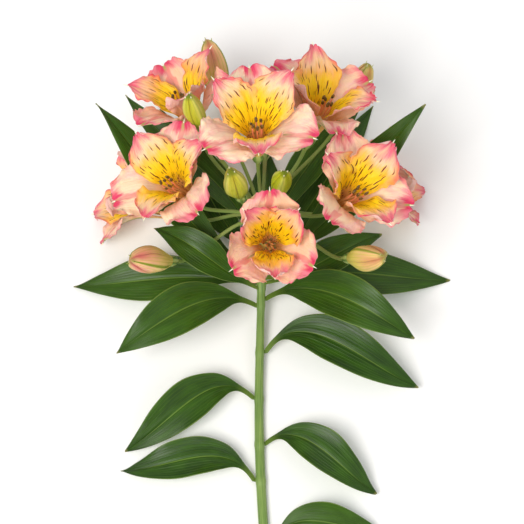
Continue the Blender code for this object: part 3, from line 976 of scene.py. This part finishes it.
# %% Recipes
class Recipe:
    """A geometry node tree with named inputs."""

    def __init__(self, name, **inputs):
        self.tree = bpy.data.node_groups.new(name, "GeometryNodeTree")
        face = self.tree.interface
        face.new_socket("Lines", in_out="INPUT", socket_type="NodeSocketGeometry")
        self.keys = {
            key: face.new_socket(key, in_out="INPUT", socket_type="NodeSocket" + kind).identifier
            for key, kind in inputs.items()
        }
        face.new_socket("Solid", in_out="OUTPUT", socket_type="NodeSocketGeometry")
        self.given = self.tree.nodes.new("NodeGroupInput").outputs

    def node(self, kind, sockets=(), **settings):
        """Adds one of the nodes for geometry and hands back its first output."""
        return add_node(self.tree, "GeometryNode" + kind, sockets, **settings)

    def apply(self, name, mesh, **values):
        """Runs the tree on a mesh and hands back the result as a plain object."""
        obj = bpy.data.objects.new(name, mesh)
        bpy.context.scene.collection.objects.link(obj)
        modifier = obj.modifiers.new("Recipe", "NODES")
        modifier.node_group = self.tree
        for key, value in values.items():
            modifier[self.keys[key]] = value
        graph = bpy.context.evaluated_depsgraph_get()
        solid = bpy.data.meshes.new_from_object(obj.evaluated_get(graph))
        obj.modifiers.remove(modifier)
        obj.data = solid
        solid.name = name
        return obj


def line_mesh(name, lines):
    """Bare edges along each line of points, with the numbers stored on the points."""
    joined = {key: np.concatenate([line[key] for line in lines]) for key in lines[0]}
    edges, start = [], 0
    for line in lines:
        end = start + len(line["points"])
        edges += [(index, index + 1) for index in range(start, end - 1)]
        start = end
    mesh = bpy.data.meshes.new(name)
    mesh.from_pydata(joined.pop("points").tolist(), edges, [])
    for key, values in joined.items():
        store(mesh, key, values)
    return mesh


print("ready to run a tree on bare lines")


# %% Thread tree
BEAD_SEGMENTS = 12
BEAD_RINGS = 8
BEAD_FLATNESS = 0.7
BEAD_LIFT = 0.38


def thread_recipe():
    """Sweeps a circle along each line, and sets a bead on each line's end."""
    recipe = Recipe("threads", Sides="Int", BeadLength="Float", BeadRadius="Float", Finish="Material")
    given, node = recipe.given, recipe.node
    length, radius = Number(given["BeadLength"]), Number(given["BeadRadius"])
    lines = node("MeshToCurve", {"Mesh": given["Lines"]})
    circle = node("CurvePrimitiveCircle", {"Resolution": given["Sides"], "Radius": 1.0})
    round_place = {"Geometry": circle, "Name": "round", "Value": node("InputPosition")}
    circle = node("StoreNamedAttribute", round_place, data_type="FLOAT_VECTOR")
    thick = node("InputNamedAttribute", {"Name": "thick"}, data_type="FLOAT")
    sweep = {"Curve": lines, "Profile Curve": circle, "Scale": thick, "Fill Caps": True}
    tube = node("CurveToMesh", sweep)

    ball = node("MeshUVSphere", {"Segments": BEAD_SEGMENTS, "Rings": BEAD_RINGS, "Radius": 1.0})
    size = vector(radius, radius * BEAD_FLATNESS, length * 0.5)
    lift = add_node(recipe.tree, "ShaderNodeCombineXYZ", {"Z": length * BEAD_LIFT})
    bead = node("Transform", {"Geometry": ball, "Translation": lift, "Scale": size})
    bead = node("StoreNamedAttribute", {"Geometry": bead, "Name": "bead", "Value": 1.0}, data_type="FLOAT")
    lean = node("InputNamedAttribute", {"Name": "lean"}, data_type="FLOAT_VECTOR")
    turn = add_node(recipe.tree, "FunctionNodeAlignRotationToVector", {"Vector": lean}, axis="Z")
    ends = node("CurveEndpointSelection", {"Start Size": 0, "End Size": 1})
    wanted = add_node(recipe.tree, "FunctionNodeCompare", {0: length, 1: 0.0}, operation="GREATER_THAN")
    chosen = add_node(recipe.tree, "FunctionNodeBooleanMath", {0: ends, 1: wanted}, operation="AND")
    seat = {"Points": lines, "Selection": chosen, "Instance": bead, "Rotation": turn}
    beads = node("InstanceOnPoints", seat)

    solid = node("JoinGeometry", {"Geometry": [tube, beads]})
    solid = node("RealizeInstances", {"Geometry": solid})
    solid = node("SetShadeSmooth", {"Geometry": solid})
    solid = node("SetMaterial", {"Geometry": solid, "Material": given["Finish"]})
    fill(recipe.tree.nodes.new("NodeGroupOutput"), {"Solid": solid})
    return recipe


THREADS = thread_recipe()
print("thread tree nodes:", len(THREADS.tree.nodes))

# %% [markdown]
# ## Stamens
#
# Six thin filaments leave the middle of each bloom, bend towards its lower side
# and carry an oblong anther each. They are threads with a bead on the end. Each
# anther leans its own way, which is stored on the thread's points.


# %% Stamen finish
def stamen_paint():
    """Peach filaments that turn pink outwards, and dusty grey-brown anthers."""
    box = Paintbox("stamen_paint")
    along, bead = box.values("along", "bead")
    grain = noise(box.place(), 900.0, 2.0)
    anther = layers(paint(70, 50, 24), (step(-0.15, 0.2, grain), paint(128, 102, 50)))
    color = layers(
        paint(252, 208, 140),
        (step(0.30, 0.95, along), paint(242, 146, 116)),
        (bead, anther),
    )
    return box.finish(color, 0.55, grain, 0.0002)


STAMEN_PAINT = stamen_paint()
print("stamen finish:", STAMEN_PAINT.name)

# %% Stamen threads
STAMEN_RADIUS = 0.0005
STAMEN_RING = 0.0010
STAMEN_ROOT = 0.0002
STAMEN_SPREAD = 0.0030
STAMEN_REACH = 0.028
STAMEN_DROOP = 0.0028
STAMEN_BEND = 0.4
STAMEN_STEPS = 15
STAMEN_SIDES = 8
ANTHER_LENGTH = 0.0036
ANTHER_RADIUS = 0.00095
ANTHER_LEAN = 0.35
STAMEN_START = Vector((0.0, 0.06, 1.0)).normalized()
STAMEN_END = Vector((0.0, 0.15, 1.0)).normalized()


def stamen_lines(flower):
    """The middle lines of a bloom's six stamens."""
    place = flower_frame(flower, BLOOM_DEPTH)
    reach = STAMEN_REACH * (0.75 + 0.25 * flower.openness) * flower.size
    shares = np.linspace(0.0, 1.0, STAMEN_STEPS)
    lines = []
    for index, draw in enumerate(stamen_reaches[flower.name]):
        turn = math.tau * (index + 0.5) / STAMEN_COUNT
        outwards = Vector((math.cos(turn), math.sin(turn), 0.0))
        root = outwards * STAMEN_RING + UP * STAMEN_ROOT
        tip = outwards * STAMEN_SPREAD + UP * reach * draw
        tip.y -= STAMEN_DROOP * flower.openness
        points = placed(place, cubic(root, STAMEN_START, tip, STAMEN_END, shares, STAMEN_BEND))
        way = Vector(points[-1] - points[-2]).normalized()
        tilt = Vector([looks.uniform(-ANTHER_LEAN, ANTHER_LEAN) for _ in range(3)])
        line = {"points": points, "thick": STAMEN_RADIUS * (1.1 - 0.4 * shares), "along": shares}
        line["lean"] = np.tile((way + tilt).normalized(), (STAMEN_STEPS, 1))
        lines.append(line)
    return lines


for flower in BLOOMS:
    piece = THREADS.apply(
        flower.name + "_stamen_ring",
        line_mesh("stamen_lines", stamen_lines(flower)),
        Sides=STAMEN_SIDES,
        BeadLength=ANTHER_LENGTH,
        BeadRadius=ANTHER_RADIUS,
        Finish=STAMEN_PAINT,
    )
    dress(piece, flower.name + "_stamens")
print("a stamen ring has", len(piece.data.polygons), "faces")

# %% [markdown]
# ## Stalk and rays
#
# The main stalk lies flat, rises to the whorl and flares there into a small
# hub. From the hub the rays fan out, one for each flower, and each ends at a
# ribbed green ovary. All of them are threads of the same tree. The cut end is
# swept too: its first few points close in on the middle, so the cut face has
# rings that the finish can colour like pith and rind. The stalk swells a little
# under each leaf, so the leaves' places come first.


# %% Leaf places
@dataclass
class Leaf:
    """A leaf: its foot on the stem, the way it leaves and meets its tip, its size."""

    name: str
    foot_y: float
    foot_side: float
    start_azimuth: float
    start_rise: float
    tip: tuple
    end_rise: float
    half_width: float
    roll: float = 0.0
    foot_rise: float = 0.0


LEAVES = (
    Leaf("leaf_whorl_1", -0.018, 80, 34, -35, (0.070, 0.092, 0.000), -8, 0.012),
    Leaf("leaf_whorl_2", -0.020, -80, -34, -35, (-0.064, 0.090, 0.000), -8, 0.013, 10),
    Leaf("leaf_whorl_3", -0.030, 90, 80, 0, (0.114, -0.026, 0.000), -15, 0.014, -10),
    Leaf("leaf_whorl_4", -0.033, -90, -80, 0, (-0.114, -0.030, 0.000), -15, 0.014, 10),
    Leaf("leaf_whorl_5", -0.042, 90, 75, 45, (0.088, -0.076, 0.036), -35, 0.014, -15),
    Leaf("leaf_whorl_6", -0.046, -90, -80, 45, (-0.084, -0.084, 0.034), -35, 0.014, 15),
    Leaf("leaf_whorl_7", -0.013, 75, 12, -14, (0.068, 0.100, 0.028), 8, 0.011, 10),
    Leaf("leaf_whorl_8", -0.014, -75, -14, -14, (-0.084, 0.086, 0.028), 8, 0.011, 10),
    Leaf("leaf_whorl_9", -0.025, 80, 57, 7, (0.095, 0.051, 0.085), 30, 0.0125, 0, 20),
    Leaf("leaf_whorl_10", -0.028, -80, -60, 7, (-0.097, 0.054, 0.080), 30, 0.0120, 0, 20),
    Leaf("leaf_whorl_11", -0.034, 80, 87, 21, (0.072, -0.004, 0.020), -20, 0.0108, -8, 45),
    Leaf("leaf_whorl_12", -0.037, -80, -80, 35, (-0.064, -0.004, 0.030), -30, 0.0105, 8, 45),
    Leaf("leaf_whorl_13", -0.022, 0, 4, -28, (0.004, 0.062, 0.000), 0, 0.0125, 0, -90),
    Leaf("leaf_stem_1", -0.074, 80, 38, 32, (0.092, -0.096, 0.006), -30, 0.0135, -12),
    Leaf("leaf_stem_2", -0.102, -80, -52, 26, (-0.080, -0.134, 0.003), -25, 0.0125, 14),
    Leaf("leaf_stem_3", -0.130, 80, 56, 34, (0.066, -0.160, 0.004), -35, 0.0120, 6),
    Leaf("leaf_stem_4", -0.152, -80, -34, 22, (-0.082, -0.146, 0.003), -20, 0.0120, -8),
    Leaf("leaf_stem_5", -0.188, 80, 36, 26, (0.070, -0.182, 0.002), -25, 0.0110, -14),
    Leaf("leaf_stem_6", -0.212, -80, -58, 18, (-0.046, -0.236, 0.002), -15, 0.0095, 10),
)
print("leaves", len(LEAVES))


# %% Stalk finish
def stalk_paint():
    """Satin green with fine pale streaks, paler rays and a pale cut face."""
    box = Paintbox("stalk_paint")
    x, y, _ = parts(box.stored("round"))
    along, ray, core = box.values("along", "ray", "cut")
    streaks = noise(vector(x * 3.0, y * 3.0, along * 14.0), 3.0, 3.0)
    clouds = noise(box.place(), 38.0, 2.0)
    dots = noise(box.place(), 2400.0, 1.0)
    pith = layers(
        paint(228, 234, 186),
        (step(0.02, 0.16, dots), paint(188, 204, 132)),
        (step(0.55, 0.25, core), paint(128, 156, 74)),
    )
    color = layers(
        paint(84, 118, 48),
        (step(-0.22, 0.25, streaks), paint(140, 166, 84)),
        (step(-0.1, 0.35, clouds) * 0.5, paint(156, 176, 98)),
        (ray * 0.55, paint(150, 170, 82)),
        (ray * step(0.0, 0.3, clouds + streaks * 0.6) * 0.5, paint(166, 112, 80)),
        (step(0.02, 0.12, core), pith),
    )
    return box.finish(color, streaks * 0.2 + 0.42, streaks, 0.0003, Specular_IOR_Level=0.4)


STALK_PAINT = stalk_paint()
print("stalk finish:", STALK_PAINT.name)

# %% Main stalk and rays
RAY_RADIUS = 0.0012
RAY_SUNK = 0.001
RAY_STEPS = 40
RAY_WAIST = 0.94
RAY_FOOT_FLARE = 0.20
RAY_TOP_FLARE = 0.25
RAY_FLARE_SHARE = 0.05
OVARY_LENGTH = 0.0100
OVARY_TOP = -0.0031
STALK_STEPS = 220
STALK_SIDES = 24
NODE_SWELLING = 0.00035
NODE_LENGTH = 0.0022
LAST_NODE = 0.93
# The cut face and the end of the hub: where each ring lies, how wide it is, and
# how near the cut's middle, which the finish turns into pith and rind.
CUT_OFFSETS = (0.0, 0.00002, 0.00005, 0.00009, 0.00014, 0.00040)
CUT_WIDTHS = (0.01, 0.30, 0.60, 0.86, 0.95, 1.0)
CUT_SHARES = (1.0, 0.70, 0.40, 0.14, 0.05, 0.0)
HUB_SHARES = (0.4, 0.8, 1.1, 1.2)
HUB_RADII = (0.0033, 0.0027, 0.0015, 0.0001)
umbel_axis = direction(0.0, UMBEL_TILT)


def stalk_line(points, thick, ray, cut=0.0):
    """One line of the stalk with the numbers that its finish reads."""
    steps = np.linalg.norm(np.diff(points, axis=0), axis=1)
    count = len(points)
    return {
        "points": points,
        "thick": thick,
        "along": np.concatenate(((0.0,), np.cumsum(steps))),
        "ray": np.full(count, ray),
        "cut": np.broadcast_to(cut, count),
    }


def main_stalk():
    """The stalk from its cut face to the hub, with a slight swelling under each leaf."""
    shares = np.linspace(0.0, 1.0, STALK_STEPS + 1)[1:]
    centres = np.array([stem_centre(share) for share in shares])
    thick = np.array([stem_radius(share) for share in shares])
    for leaf in LEAVES:
        distance = centres[:, 1] - WHORL_Y - leaf.foot_y
        thick += NODE_SWELLING * hump(distance, NODE_LENGTH) * (shares < LAST_NODE)
    centres[:, 2] = np.maximum(centres[:, 2], thick + TABLE_GAP)
    cut = np.array(stem_centre(0.0))
    cut[2] = STEM_RADIUS + TABLE_GAP
    face = np.array([cut + (0.0, offset, 0.0) for offset in CUT_OFFSETS])
    hub = np.array([centres[-1] + np.array(umbel_axis) * HUB_HEIGHT * share for share in HUB_SHARES])
    points = np.concatenate((face, centres, hub))
    thick = np.concatenate((STEM_RADIUS * np.array(CUT_WIDTHS), thick, HUB_RADII))
    cut_share = np.zeros(len(points))
    cut_share[: len(CUT_SHARES)] = CUT_SHARES
    return stalk_line(points, thick, 0.0, cut_share)


def ray_line(flower, depth):
    """One flower's ray, from the hub to the foot of its ovary."""
    place = flower_frame(flower, depth)
    axis = place.to_3x3() @ UP
    foot = place @ (UP * OVARY_TOP) - axis * OVARY_LENGTH * flower.size
    start_way = (umbel_axis + direction(flower.azimuth, flower.elevation)).normalized()
    shares = np.linspace(0.0, 1.0, RAY_STEPS)
    points = cubic(whorl - umbel_axis * RAY_SUNK, start_way, foot, axis, shares)
    ends = RAY_FOOT_FLARE * np.exp(-shares / RAY_FLARE_SHARE)
    ends = ends + RAY_TOP_FLARE * np.exp((shares - 1.0) / RAY_FLARE_SHARE)
    return stalk_line(points, RAY_RADIUS * (RAY_WAIST + ends), 1.0)


stalk_lines = [main_stalk()]
stalk_lines += [ray_line(flower, BLOOM_DEPTH) for flower in BLOOMS]
stalk_lines += [ray_line(flower, BUD_DEPTH) for flower in BUDS]
stalk_mesh = line_mesh("stalk_lines", stalk_lines)
piece = THREADS.apply("stalk_and_rays", stalk_mesh, Sides=STALK_SIDES, BeadLength=0.0, Finish=STALK_PAINT)
dress(piece, "stem")
print("stalk faces", len(piece.data.polygons))

# %% [markdown]
# ## Ovaries
#
# Under each flower sits a green ovary with six ribs. It is a turned shape:
# each ring is a little wider or narrower than the last, and the ribs are added
# to the rings. On top a low yellow-green cushion closes it, and the petals and
# stamens stand on that.


# %% Ovaries
def ovary_paint():
    """Green with paler hollows between its ribs, and a yellow cushion on top."""
    box = Paintbox("ovary_paint")
    rib, along = box.values("rib", "along")
    grain = noise(box.place(), 420.0, 3.0)
    color = layers(
        paint(170, 186, 104),
        (step(0.15, 0.85, rib + grain * 0.5), paint(96, 128, 50)),
        (step(0.30, 0.05, along) * 0.6, paint(160, 170, 90)),
        (step(1.00, 1.12, along), paint(226, 196, 96)),
    )
    flesh = {"Specular_IOR_Level": 0.4, "Subsurface_Weight": 0.1, "Subsurface_Scale": 0.001}
    return box.finish(color, 0.42, grain, 0.0003, **flesh)


OVARY_STATIONS = ((-0.10, 0.26), (0.00, 0.30), (0.30, 0.64), (0.65, 0.93), (0.88, 1.00), (1.00, 0.90))
CUSHION = ((1.06, 0.84), (1.14, 0.74), (1.24, 0.60), (1.34, 0.42), (1.40, 0.20))
OVARY_ROWS = 20
OVARY_COLUMNS = 48
OVARY_RADIUS = 0.0047
BUD_OVARY_RADIUS = 0.0034
RIB_DEPTH = 0.13


def add_ovary(shape, flower, depth, radius, cushion):
    """One ribbed ovary; along runs from 0 at its foot to 1 at its shoulder."""
    along = np.linspace(OVARY_STATIONS[0][0], 1.0, OVARY_ROWS)
    widths = smooth_line(OVARY_STATIONS, along)
    if cushion:
        shares, extra = np.array(CUSHION).T
        along = np.concatenate((along, shares))
        widths = np.concatenate((widths, extra))
    angles = np.arange(OVARY_COLUMNS) * math.tau / OVARY_COLUMNS
    rib = np.abs(np.cos(3.0 * angles)) ** 2.5
    ribbed = RIB_DEPTH * soft_step(-0.05, 0.3, along) * soft_step(1.08, 0.9, along)
    radii = radius * widths[:, None] * (1.0 + ribbed[:, None] * (rib - 0.55))
    heights = OVARY_TOP + (along - 1.0) * OVARY_LENGTH * flower.size
    place = flower_frame(flower, depth)
    add_turned(shape, place, radii, heights, rib=rib[None, :], along=along[:, None])


ovaries = Shape("rib", "along")
for flower in BLOOMS:
    add_ovary(ovaries, flower, BLOOM_DEPTH, OVARY_RADIUS, True)
for flower in BUDS:
    add_ovary(ovaries, flower, BUD_DEPTH, BUD_OVARY_RADIUS, False)
piece = ovaries.build("ribbed_ovaries", ovary_paint())
dress(piece, "stem")
print("ovary points", len(piece.data.vertices))

# %% [markdown]
# ## Buds
#
# A closed bud is three outer petals folded over the rest, each with a green keel
# on its back. It is turned like the ovary, with three lobes. A keel stands a
# little proud on each lobe, and where one petal folds over the next there is a
# step. Young buds are yellow green, and older ones cream with a pink flush, so
# each bud has an age.


# %% Bud finish
def bud_paint():
    """Yellow green when young, cream, peach and pink when ripe, with fine veins and green keels."""
    box = Paintbox("bud_paint")
    side, along, age, turn, tip = box.values("side", "along", "age", "turn", "tip")
    tone = noise(box.place(), 120.0, 3.0)
    veins = noise(vector(turn * 34.0, along * 1.6, age), 1.0, 2.0)
    lines = step(0.1, 1.1, (side * 24.0).sine() + veins * 1.5)
    young = layers(
        paint(174, 188, 10),
        (step(-0.2, 0.25, veins), paint(216, 216, 40)),
        (step(0.50, 0.10, side) * step(0.20, 0.55, along) * 0.6, paint(232, 230, 124)),
        (step(0.35, 0.02, along) * 0.8, paint(116, 140, 14)),
    )
    ripe = layers(
        paint(238, 218, 112),
        (step(0.10, 0.75, along + tone * 0.4), paint(248, 188, 146)),
        (lines * 0.50, paint(204, 184, 56)),
        (step(0.30, 0.90, side + tone * 0.6) * step(0.40, 0.95, along) * 0.9, paint(232, 100, 118)),
    )
    keel = step(0.15, 0.04, side + veins * 0.06) * step(0.02, 0.25, along)
    cap = step(0.90, 1.0, along + tone * 0.1)
    color = layers(
        young,
        (age, ripe),
        (keel * (age * 0.6 + 0.35), paint(128, 150, 16)),
        (cap * (age * -0.6 + 1.0), paint(122, 140, 24)),
        (step(0.93, 1.0, side) * 0.45, paint(146, 104, 30)),
        (tip, MUCRO),
    )
    return box.finish(
        color,
        veins * 0.15 + 0.42,
        veins,
        0.0004,
        Subsurface_Weight=0.2,
        Subsurface_Radius=(1.0, 0.6, 0.2),
        Subsurface_Scale=0.0012,
        Specular_IOR_Level=0.35,
    )


BUD_PAINT = bud_paint()
print("bud finish:", BUD_PAINT.name)

# %% Buds
BUD_LENGTH = 0.036
BUD_RADIUS = 0.0078
BUD_FOOT = OVARY_TOP + 0.0003
BUD_SHARES = (0.0, 0.10, 0.28, 0.48, 0.68, 0.85, 0.96, 1.0)
BUD_WIDTHS = (0.46, 0.62, 0.88, 1.0, 0.90, 0.62, 0.34, 0.14)
BUD_PROFILE = tuple(zip(BUD_SHARES, BUD_WIDTHS))
BUD_LOBE = 0.09
BUD_TIP_LOBE = 0.12
BUD_TWIST = 0.30
BUD_KEEL = 0.00038
BUD_KEEL_WIDTH = 0.13
BUD_STEP = 0.00030
BUD_STEP_WIDTH = 0.35
BUD_SEAM = 0.00045
BUD_SEAM_WIDTH = 0.05
BUD_POINT_LENGTH = 0.0026
BUD_POINT_RADIUS = 0.0005
BUD_POINT_ROW = 0.93
BUD_COLUMNS = 96
BUD_ROWS = 60
BUD_LEAST_RADIUS = 0.0003
BUD_AGES = (0.15, 0.0, 0.10, 0.85, 0.55, 0.95, 0.70)


def make_bud(flower, age):
    """One closed bud with its three folded petals and their tips."""
    place = flower_frame(flower, BUD_DEPTH)
    along = 1.0 - (1.0 - np.linspace(0.0, 1.0, BUD_ROWS)) ** 1.2
    angles = np.arange(BUD_COLUMNS) * math.tau / BUD_COLUMNS
    turned = angles[None, :] - BUD_TWIST * (along[:, None] - 0.4)
    fold = (turned * 3.0 / math.tau) % 1.0
    side = np.minimum(fold, 1.0 - fold) * 2.0
    bulge = BUD_LOBE * soft_step(0.0, 0.4, along) + BUD_TIP_LOBE * soft_step(0.6, 1.0, along)
    widths = BUD_RADIUS * flower.size * smooth_line(BUD_PROFILE, along)[:, None]
    window = soft_step(0.02, 0.25, along)[:, None] * soft_step(1.0, 0.9, along)[:, None]
    overlap = np.where(fold < 0.5, 1.0, -1.0) * hump(1.0 - side, BUD_STEP_WIDTH)
    relief = BUD_KEEL * hump(side, BUD_KEEL_WIDTH) + BUD_STEP * overlap
    relief = relief - BUD_SEAM * hump(1.0 - side, BUD_SEAM_WIDTH)
    radii = widths * (1.0 + np.cos(3.0 * turned) * bulge[:, None]) + window * flower.size * relief
    radii = np.maximum(radii, BUD_LEAST_RADIUS)
    heights = BUD_FOOT + along * BUD_LENGTH * flower.size
    shape = Shape("side", "along", "age", "turn", "tip")
    turn = side + 3.0 * np.floor(fold * 2.0)
    add_turned(shape, place, radii, heights, side=side, along=along[:, None], age=age, turn=turn)
    row = int(BUD_POINT_ROW * BUD_ROWS)
    for corner in range(3):
        angle = math.tau * corner / 3.0 + BUD_TWIST * (along[row] - 0.4)
        outwards = Vector((math.cos(angle), math.sin(angle), 0.0))
        foot = place @ (outwards * widths[row, 0] * 0.95 + UP * heights[row])
        way = place.to_3x3() @ (outwards * 0.25 + UP)
        length = BUD_POINT_LENGTH * flower.size
        add_spike(shape, foot, way, length, BUD_POINT_RADIUS, tip=1.0 - age, along=1.0, age=age)
    return shape


for flower, age in zip(BUDS, BUD_AGES):
    piece = make_bud(flower, age).build(flower.name + "_closed", BUD_PAINT)
    dress(piece, flower.name)
print("bud points", len(piece.data.vertices))

# %% [markdown]
# ## Leaves
#
# The leaves are long and pointed, dark and glossy, with many fine veins that
# all run from foot to tip. Each leaf leaves the stalk one way and ends at its
# tip another way, with a cubic between them, and it is a little channelled
# along its middle. It is the same closed sheet as a petal, with other widths.


# %% Leaf finish
def leaf_paint():
    """Dark glossy green with fine parallel veins, a pale midrib, edge and tip."""
    box = Paintbox("leaf_paint")
    across, along = box.sheet()
    side = abs(across)
    tone, is_back = box.values("tone", "back")
    clouds = noise(vector(across * 1.5, along * 3.0, tone * 9.0), 2.0, 3.0)
    fibres = noise(vector(across * 26.0, along, tone), 2.0, 2.0)
    veins = step(0.55, 1.0, (across * 44.0).sine() + fibres * 0.5)
    rib = step(0.050, 0.012, side) * step(1.0, 0.75, along)
    under = layers(
        paint(86, 120, 58),
        (step(-0.25, 0.30, clouds), paint(114, 146, 76)),
        (veins * 0.3, paint(150, 176, 104)),
    )
    color = layers(
        paint(24, 54, 4),
        (step(-0.25, 0.30, clouds), paint(50, 88, 10)),
        (tone * 0.35, paint(70, 106, 12)),
        (step(-0.1, 0.35, fibres) * 0.25, paint(74, 110, 16)),
        (veins * 0.10, paint(120, 150, 46)),
        (rib * 0.45, paint(124, 152, 62)),
        (step(0.16, 0.02, along) * 0.7, paint(124, 152, 58)),
        (step(0.955, 0.985, side) * 0.40, paint(146, 166, 78)),
        (step(0.975, 1.0, along) * 0.7, paint(176, 168, 96)),
        (is_back, under),
    )
    height = veins * 0.6 + fibres * 0.5 + rib * -0.5
    rough = clouds * 0.10 + 0.34 + is_back * 0.2
    gloss = {"Specular_IOR_Level": 0.27, "Coat_Weight": 0.05, "Coat_Roughness": 0.22}
    return box.finish(color, rough, height, 0.00022, **gloss)


LEAF_PAINT = leaf_paint()
print("leaf finish:", LEAF_PAINT.name)

# %% Leaves
LEAF_WIDTHS = ((0.0, 0.10), (0.12, 0.16), (0.30, 0.68), (0.50, 1.0), (0.70, 0.86), (0.88, 0.42), (1.0, 0.02))
LEAF_CHANNEL = 0.22
LEAF_WAVE = 0.0012
LEAF_WAVE_TURNS = 9.0
LEAF_RIPPLE = 0.0005
LEAF_RIPPLE_TURNS = 23.0
LEAF_CREASE = 0.0007
LEAF_TIP_TURN = 0.25
LEAF_REACH = 0.42
LEAF_STEP = 0.01
LEAF_CLEARANCE = 0.0005
LEAF_JOINTS = (0.0012, 0.0004)
LEAF_BODY = 0.0008
LEAF_THICKNESS = 0.00050
LEAF_FOOT_THICKNESS = 0.0006
LEAF_ROWS = 84
LEAF_COLUMNS = 28
LEAF_EDGE = 1.15


def unit(vectors):
    """Each row of an array scaled to length 1."""
    return vectors / np.linalg.norm(vectors, axis=-1, keepdims=True)


def leaf_foot(leaf, start_way):
    """Where a leaf leaves the stalk, and the way outwards there."""
    share = 1.0 + leaf.foot_y / STEM_LENGTH
    outwards = direction(leaf.foot_side, leaf.foot_rise)
    across = start_way.cross(UP).normalized()
    over = across.cross(start_way)
    clear = stem_radius(share) * math.cos(math.pi / STEM_SIDES) + LEAF_CLEARANCE
    clear += leaf.half_width * LEAF_WIDTHS[0][1] * abs(across.dot(outwards))
    clear += LEAF_BODY / 2.0 * abs(over.dot(outwards))
    return stem_centre(share) + outwards * clear, outwards


def leaf_points(leaf, u, v, ripple):
    """The leaf's middle surface, for arrays u and v."""
    start_way = direction(leaf.start_azimuth, leaf.start_rise)
    foot, outwards = leaf_foot(leaf, start_way)
    tip = Vector(leaf.tip) + Vector((0.0, WHORL_Y, 0.0))
    heading = tip - foot
    end_way = direction(math.degrees(math.atan2(heading.x, heading.y)), leaf.end_rise)
    behind, middle, before = (
        cubic(foot, start_way, tip, end_way, np.clip(v + offset, 0.0, 1.0), LEAF_REACH)
        for offset in (-LEAF_STEP, 0.0, LEAF_STEP)
    )
    ahead = unit(before - behind)
    side = unit(np.cross(ahead, np.array(UP)))
    normal = np.cross(side, ahead)
    turn = math.radians(leaf.roll) * v + LEAF_TIP_TURN * soft_step(0.75, 1.0, v) * math.sin(ripple)
    turn = turn[..., None]
    across = side * np.cos(turn) + normal * np.sin(turn)
    over = normal * np.cos(turn) - side * np.sin(turn)
    half_width = leaf.half_width * smooth_line(LEAF_WIDTHS, v)
    wave = LEAF_WAVE * soft_step(0.2, 0.5, v) * np.sin(LEAF_WAVE_TURNS * v + 2.0 * u)
    edge = np.sin(LEAF_RIPPLE_TURNS * v + ripple + np.sign(u)) * np.abs(u) ** 4 * soft_step(0.25, 0.5, v)
    crease = hump(u, 0.09) * soft_step(0.08, 0.3, v) * soft_step(1.0, 0.8, v)
    lift = LEAF_CHANNEL * half_width * u * u + wave * np.abs(u) ** 1.5
    lift = lift + LEAF_RIPPLE * edge * soft_step(1.0, 0.85, v) - LEAF_CREASE * crease
    points = middle + across * (half_width * u)[..., None] + over * lift[..., None]
    joint = [points[:1] - np.array(outwards) * (LEAF_CLEARANCE + deep) for deep in LEAF_JOINTS]
    return np.concatenate((*joint, points))


def make_leaf(leaf):
    """One leaf as a closed sheet that reaches into the stalk."""
    u, v = sheet_grid(LEAF_ROWS, LEAF_COLUMNS, LEAF_EDGE)
    points = leaf_points(leaf, u, v, looks.uniform(0.0, math.tau))
    u = np.concatenate((u[:1], u[:1], u))
    v = np.concatenate((v[:1], v[:1], v))
    thickness = LEAF_THICKNESS * (1.0 - 0.45 * np.abs(u) ** 4)
    thickness = thickness + LEAF_FOOT_THICKNESS * hump(u, 0.5) * soft_step(0.2, 0.0, v)
    shape = Shape("back", "tone")
    add_sheet(shape, points, u, v, thickness, 1, tone=looks.random())
    return shape


for leaf in LEAVES:
    piece = make_leaf(leaf).build(leaf.name.replace("leaf_", "blade_"), LEAF_PAINT)
    dress(piece, leaf.name)
print("leaf points", len(piece.data.vertices))

# %% [markdown]
# ## A plain table
#
# The table is one pale sheet, big enough to fill the picture from every side.
# It is only a stage.

# %% Table
TABLE_SIZE = 6.0
bpy.ops.mesh.primitive_plane_add(size=TABLE_SIZE, location=(0.0, 0.0, 0.0))
table = bpy.context.object
table.name = "table"
table.data.materials.append(Paintbox("pale_table").finish(paint(251, 250, 249), 0.6))
print("table", table.dimensions[:2])
